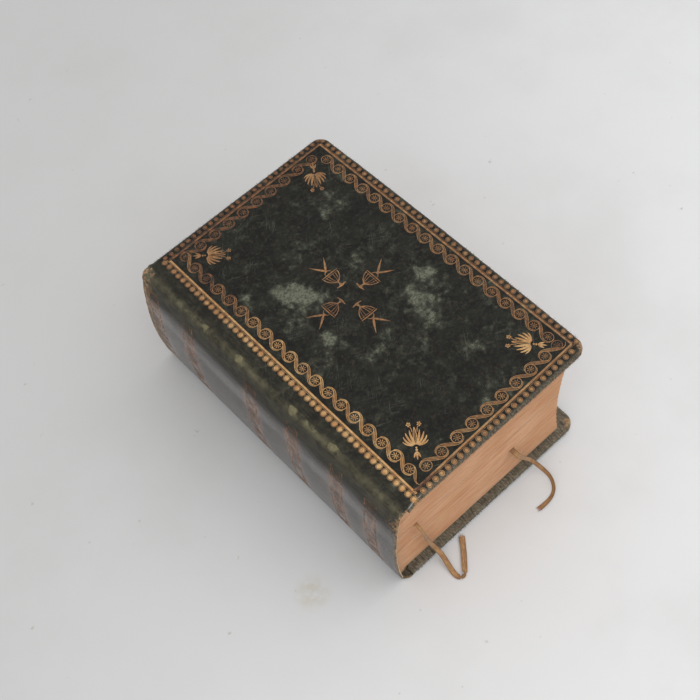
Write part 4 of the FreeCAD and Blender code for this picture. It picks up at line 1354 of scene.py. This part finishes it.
def cover_gilding():
    """Sides in turn: tail, fore-edge, head and spine."""
    drawn = Gilding()
    for number in range(side_count):
        at_tail, at_spine = number == 0, number == 3
        from_thin, to_thin = side_thin[number]
        for inset, width, extra in ((0.0, fillet_width, 0.0), (hair_line_inset, hair_line_width, 0.25)):
            first, last = frame_side(number, inset)
            if at_spine:
                last = last + (last - first).normalized() * 2.9
            for step in range(line_steps):
                share = step / line_steps
                thin = from_thin + (to_thin - from_thin) * share + extra
                if at_tail:
                    thin = max(thin, 1.0 - 0.9 * eased(share, 0.02, 0.22))
                line = [first.lerp(last, share + part / line_steps) for part in (0.0, 0.5, 1.0)]
                drawn.stroke(line, width, min(thin, 1.0))
        first, last = frame_side(number, bead_inset)
        if at_spine:
            last = last + (last - first).normalized() * 1.7
        beads = round((last - first).length / bead_pitch[number])
        size = bead_size[number]
        for step in range(beads):
            if at_tail and step in (0, beads - 1):
                continue
            share = (step + 0.5) / beads
            here = first.lerp(last, share)
            thin = from_thin + (to_thin - from_thin) * share
            if at_spine:
                thin += 0.32 * (1 - eased(share, 0.0, 0.4))
                drawn.bead(here.x, here.y, 0.98, 0.95, thin, dome=0.05)
                drawn.stroke(ring(here.x, here.y, 1.24, 16), 0.18, thin + 0.2, closed=True)
            else:
                drawn.stroke(ring(here.x, here.y, 0.97 * size, 16), 0.26, thin + 0.1, closed=True)
                drawn.bead(here.x, here.y, 0.68 * size, 0.68 * size, thin, dome=0.03, sides=10)
        first, last = frame_side(number, wheel_inset[number])
        way = (last - first).normalized()
        turn = math.atan2(way.y, way.x)
        wheels, pitch, start = wheel_row[number]
        for step in range(wheels):
            here = first + way * (start + step * pitch)
            thin = from_thin + (to_thin - from_thin) * step / wheels
            if at_spine:
                thin += 0.5 * (1 - eased(step, 1.0, 7.0)) + 0.1 * math.sin(step * 2.3)
            if at_tail and step == wheels - 1:
                thin, here = 0.75, here - way * 1.2
            drawn.motif(wheel, here, turn, thin)
            if step < wheels - 1:
                drawn.motif(band(pitch), here, turn, thin)
        if at_spine:
            drawn.motif(band(pitch), first + way * (start + (wheels - 1) * pitch), turn, 0.25, size=0.8)
            drawn.motif(band(pitch), first + way * (start - pitch), turn, 0.4)
    for foot, aim_at, thin in palmettes:
        drawn.motif(palmette, foot, math.radians(aim_at), thin, squeeze=0.9)
    for foot, aim_at, thin in urns:
        drawn.motif(urn, foot, math.radians(aim_at), thin)
    return drawn


def lay_gold(name, drawn, height, finish_point):
    """The gold as a mesh, on the level that the leather has under each of its points."""
    points = [finish_point(x, y, height(x, y) + rise) for x, y, rise in drawn.points]
    piece = new_piece(name, points, drawn.faces, smooth=False)
    keep_rest(piece)
    paint(piece, "thin", np.clip(drawn.thin, 0, 1))
    piece.data.materials.append(gold)
    return piece


for side in ("front", "back"):
    gilding = lay_gold(f"{side}_gilding", cover_gilding(), lambda x, y: cover_height(x, y, side),
                       lambda x, y, z: (x, y, own_level(z, side)))
    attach(gilding, f"{side}_cover")


# Gilding of the spine. Pairs of ruled lines with slanting strokes between them divide the smooth back
# into panels. Most of the gold has gone and has left pinkish brown bands.
def spine_point(level, y, lift):
    """A place on the spine's face. Level is counted from the resting plane."""
    angle = math.asin((level - middle_mm) / spine_radius)
    reach = spine_radius + swell(arc_x - spine_radius * math.cos(angle), y, level) + lift
    return arc_x - reach * math.cos(angle), y, middle_mm + reach * math.sin(angle)


ruled_kept, slanting_kept = 0.62, 0.45
spine_drawn = Gilding()
draw = random.Random(7)
for middle_y in spine_band_middles:
    for offset, width in ((-2.9, 0.55), (-1.9, 0.2), (1.9, 0.2), (2.9, 0.5)):
        for level in np.arange(5.0, 56.0, 1.0):
            if draw.random() < ruled_kept:
                drift = draw.uniform(-0.12, 0.12)
                line_y = middle_y + offset
                ruled_line = [(level, line_y + drift), (level + 0.5, line_y), (level + 1.0, line_y)]
                spine_drawn.stroke(ruled_line, width * draw.uniform(0.5, 1.1), draw.uniform(0.55, 1.0))
    for level in np.arange(5.5, 55.0, 1.25):
        if draw.random() < slanting_kept:
            slanting = [(level, middle_y - 1.5), (level + 0.5, middle_y), (level + 1.0, middle_y + 1.5)]
            spine_drawn.stroke(slanting, (0.12, 0.32, 0.12), draw.uniform(0.7, 1.0))
spine_gilding = lay_gold("spine_gilding", spine_drawn, lambda level, y: 0.0, spine_point)
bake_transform(spine_gilding)


# Table. A pale laminate top, faintly stained and specked, with one small spill, painted lighter
# towards the window. It is lit softly by a large window and by the room around it.
table_top, tree, shader, place = new_material("table_top")
stain = use(tree, patches, Place=place, Scale=0.012, Low=0.40, High=0.72)
specks = use(tree, patches, Place=place, Scale=0.13, Low=0.685, High=0.73)
slope = add(tree, "ShaderNodeSeparateXYZ", {0: place}).outputs
# Painted light: the top is painted from grey to pale grey towards the window.
painted_light_across_table = plus(tree, times(tree, slope[0], 0.42), times(tree, slope[1], -0.58))
pale = mixed(tree, span(tree, painted_light_across_table, -150.0, 150.0), (0.550, 0.548, 0.542), (0.750, 0.750, 0.750))
pale = mixed(tree, times(tree, stain, 0.16), pale, (0.42, 0.41, 0.38))
from_spill = add(tree, "ShaderNodeVectorMath", {0: place, 1: (-76.0, -53.0, 0.0)}, operation="DISTANCE")
spill = times(tree, span(tree, from_spill.outputs["Value"], 3.0, 9.0, 1.0, 0.0),
              use(tree, patches, Place=place, Scale=0.25, Low=0.30, High=0.65))
pale = mixed(tree, times(tree, spill, 0.38), pale, (0.50, 0.43, 0.28))
tree.links.new(mixed(tree, times(tree, specks, 0.45), pale, (0.34, 0.29, 0.22)), shader.inputs["Base Color"])
shader.inputs["Roughness"].default_value = 0.5
spots_on_table = np.linspace(-1500, 1500, 7)
table = new_piece("table", [(x, y, -0.05) for y in spots_on_table for x in spots_on_table], grid_faces(7, 7))
if table.data.polygons[0].normal.z < 0:
    table.data.flip_normals()
table.data.materials.append(table_top)


def window_light(name, place_m, aim_m, size_m, power):
    lamp = bpy.data.lights.new(name, "AREA")
    lamp.shape = "RECTANGLE"
    lamp.size, lamp.size_y = size_m
    lamp.energy = power
    holder = bpy.data.objects.new(name, lamp)
    bpy.context.scene.collection.objects.link(holder)
    way = Vector(aim_m) - Vector(place_m)
    holder.matrix_world = Matrix.Translation(place_m) @ way.to_track_quat("-Z", "Y").to_matrix().to_4x4()


window_light("window", (0.55, -0.55, 1.2), (0.0, 0.0, 0.03), (1.8, 1.6), 8.0)
window_light("room", (-0.8, -0.7, 0.9), (-0.05, -0.1, 0.03), (1.6, 1.6), 5.5)
world = bpy.data.worlds.new("room_light")
bpy.context.scene.world = world
world.use_nodes = True
world.node_tree.nodes.clear()
ambient = add(world.node_tree, "ShaderNodeBackground", {"Color": (0.985, 0.992, 1.0, 1.0), "Strength": 0.72})
add(world.node_tree, "ShaderNodeOutputWorld", {"Surface": ambient.outputs[0]})
bpy.context.scene.view_settings.view_transform = "Standard"
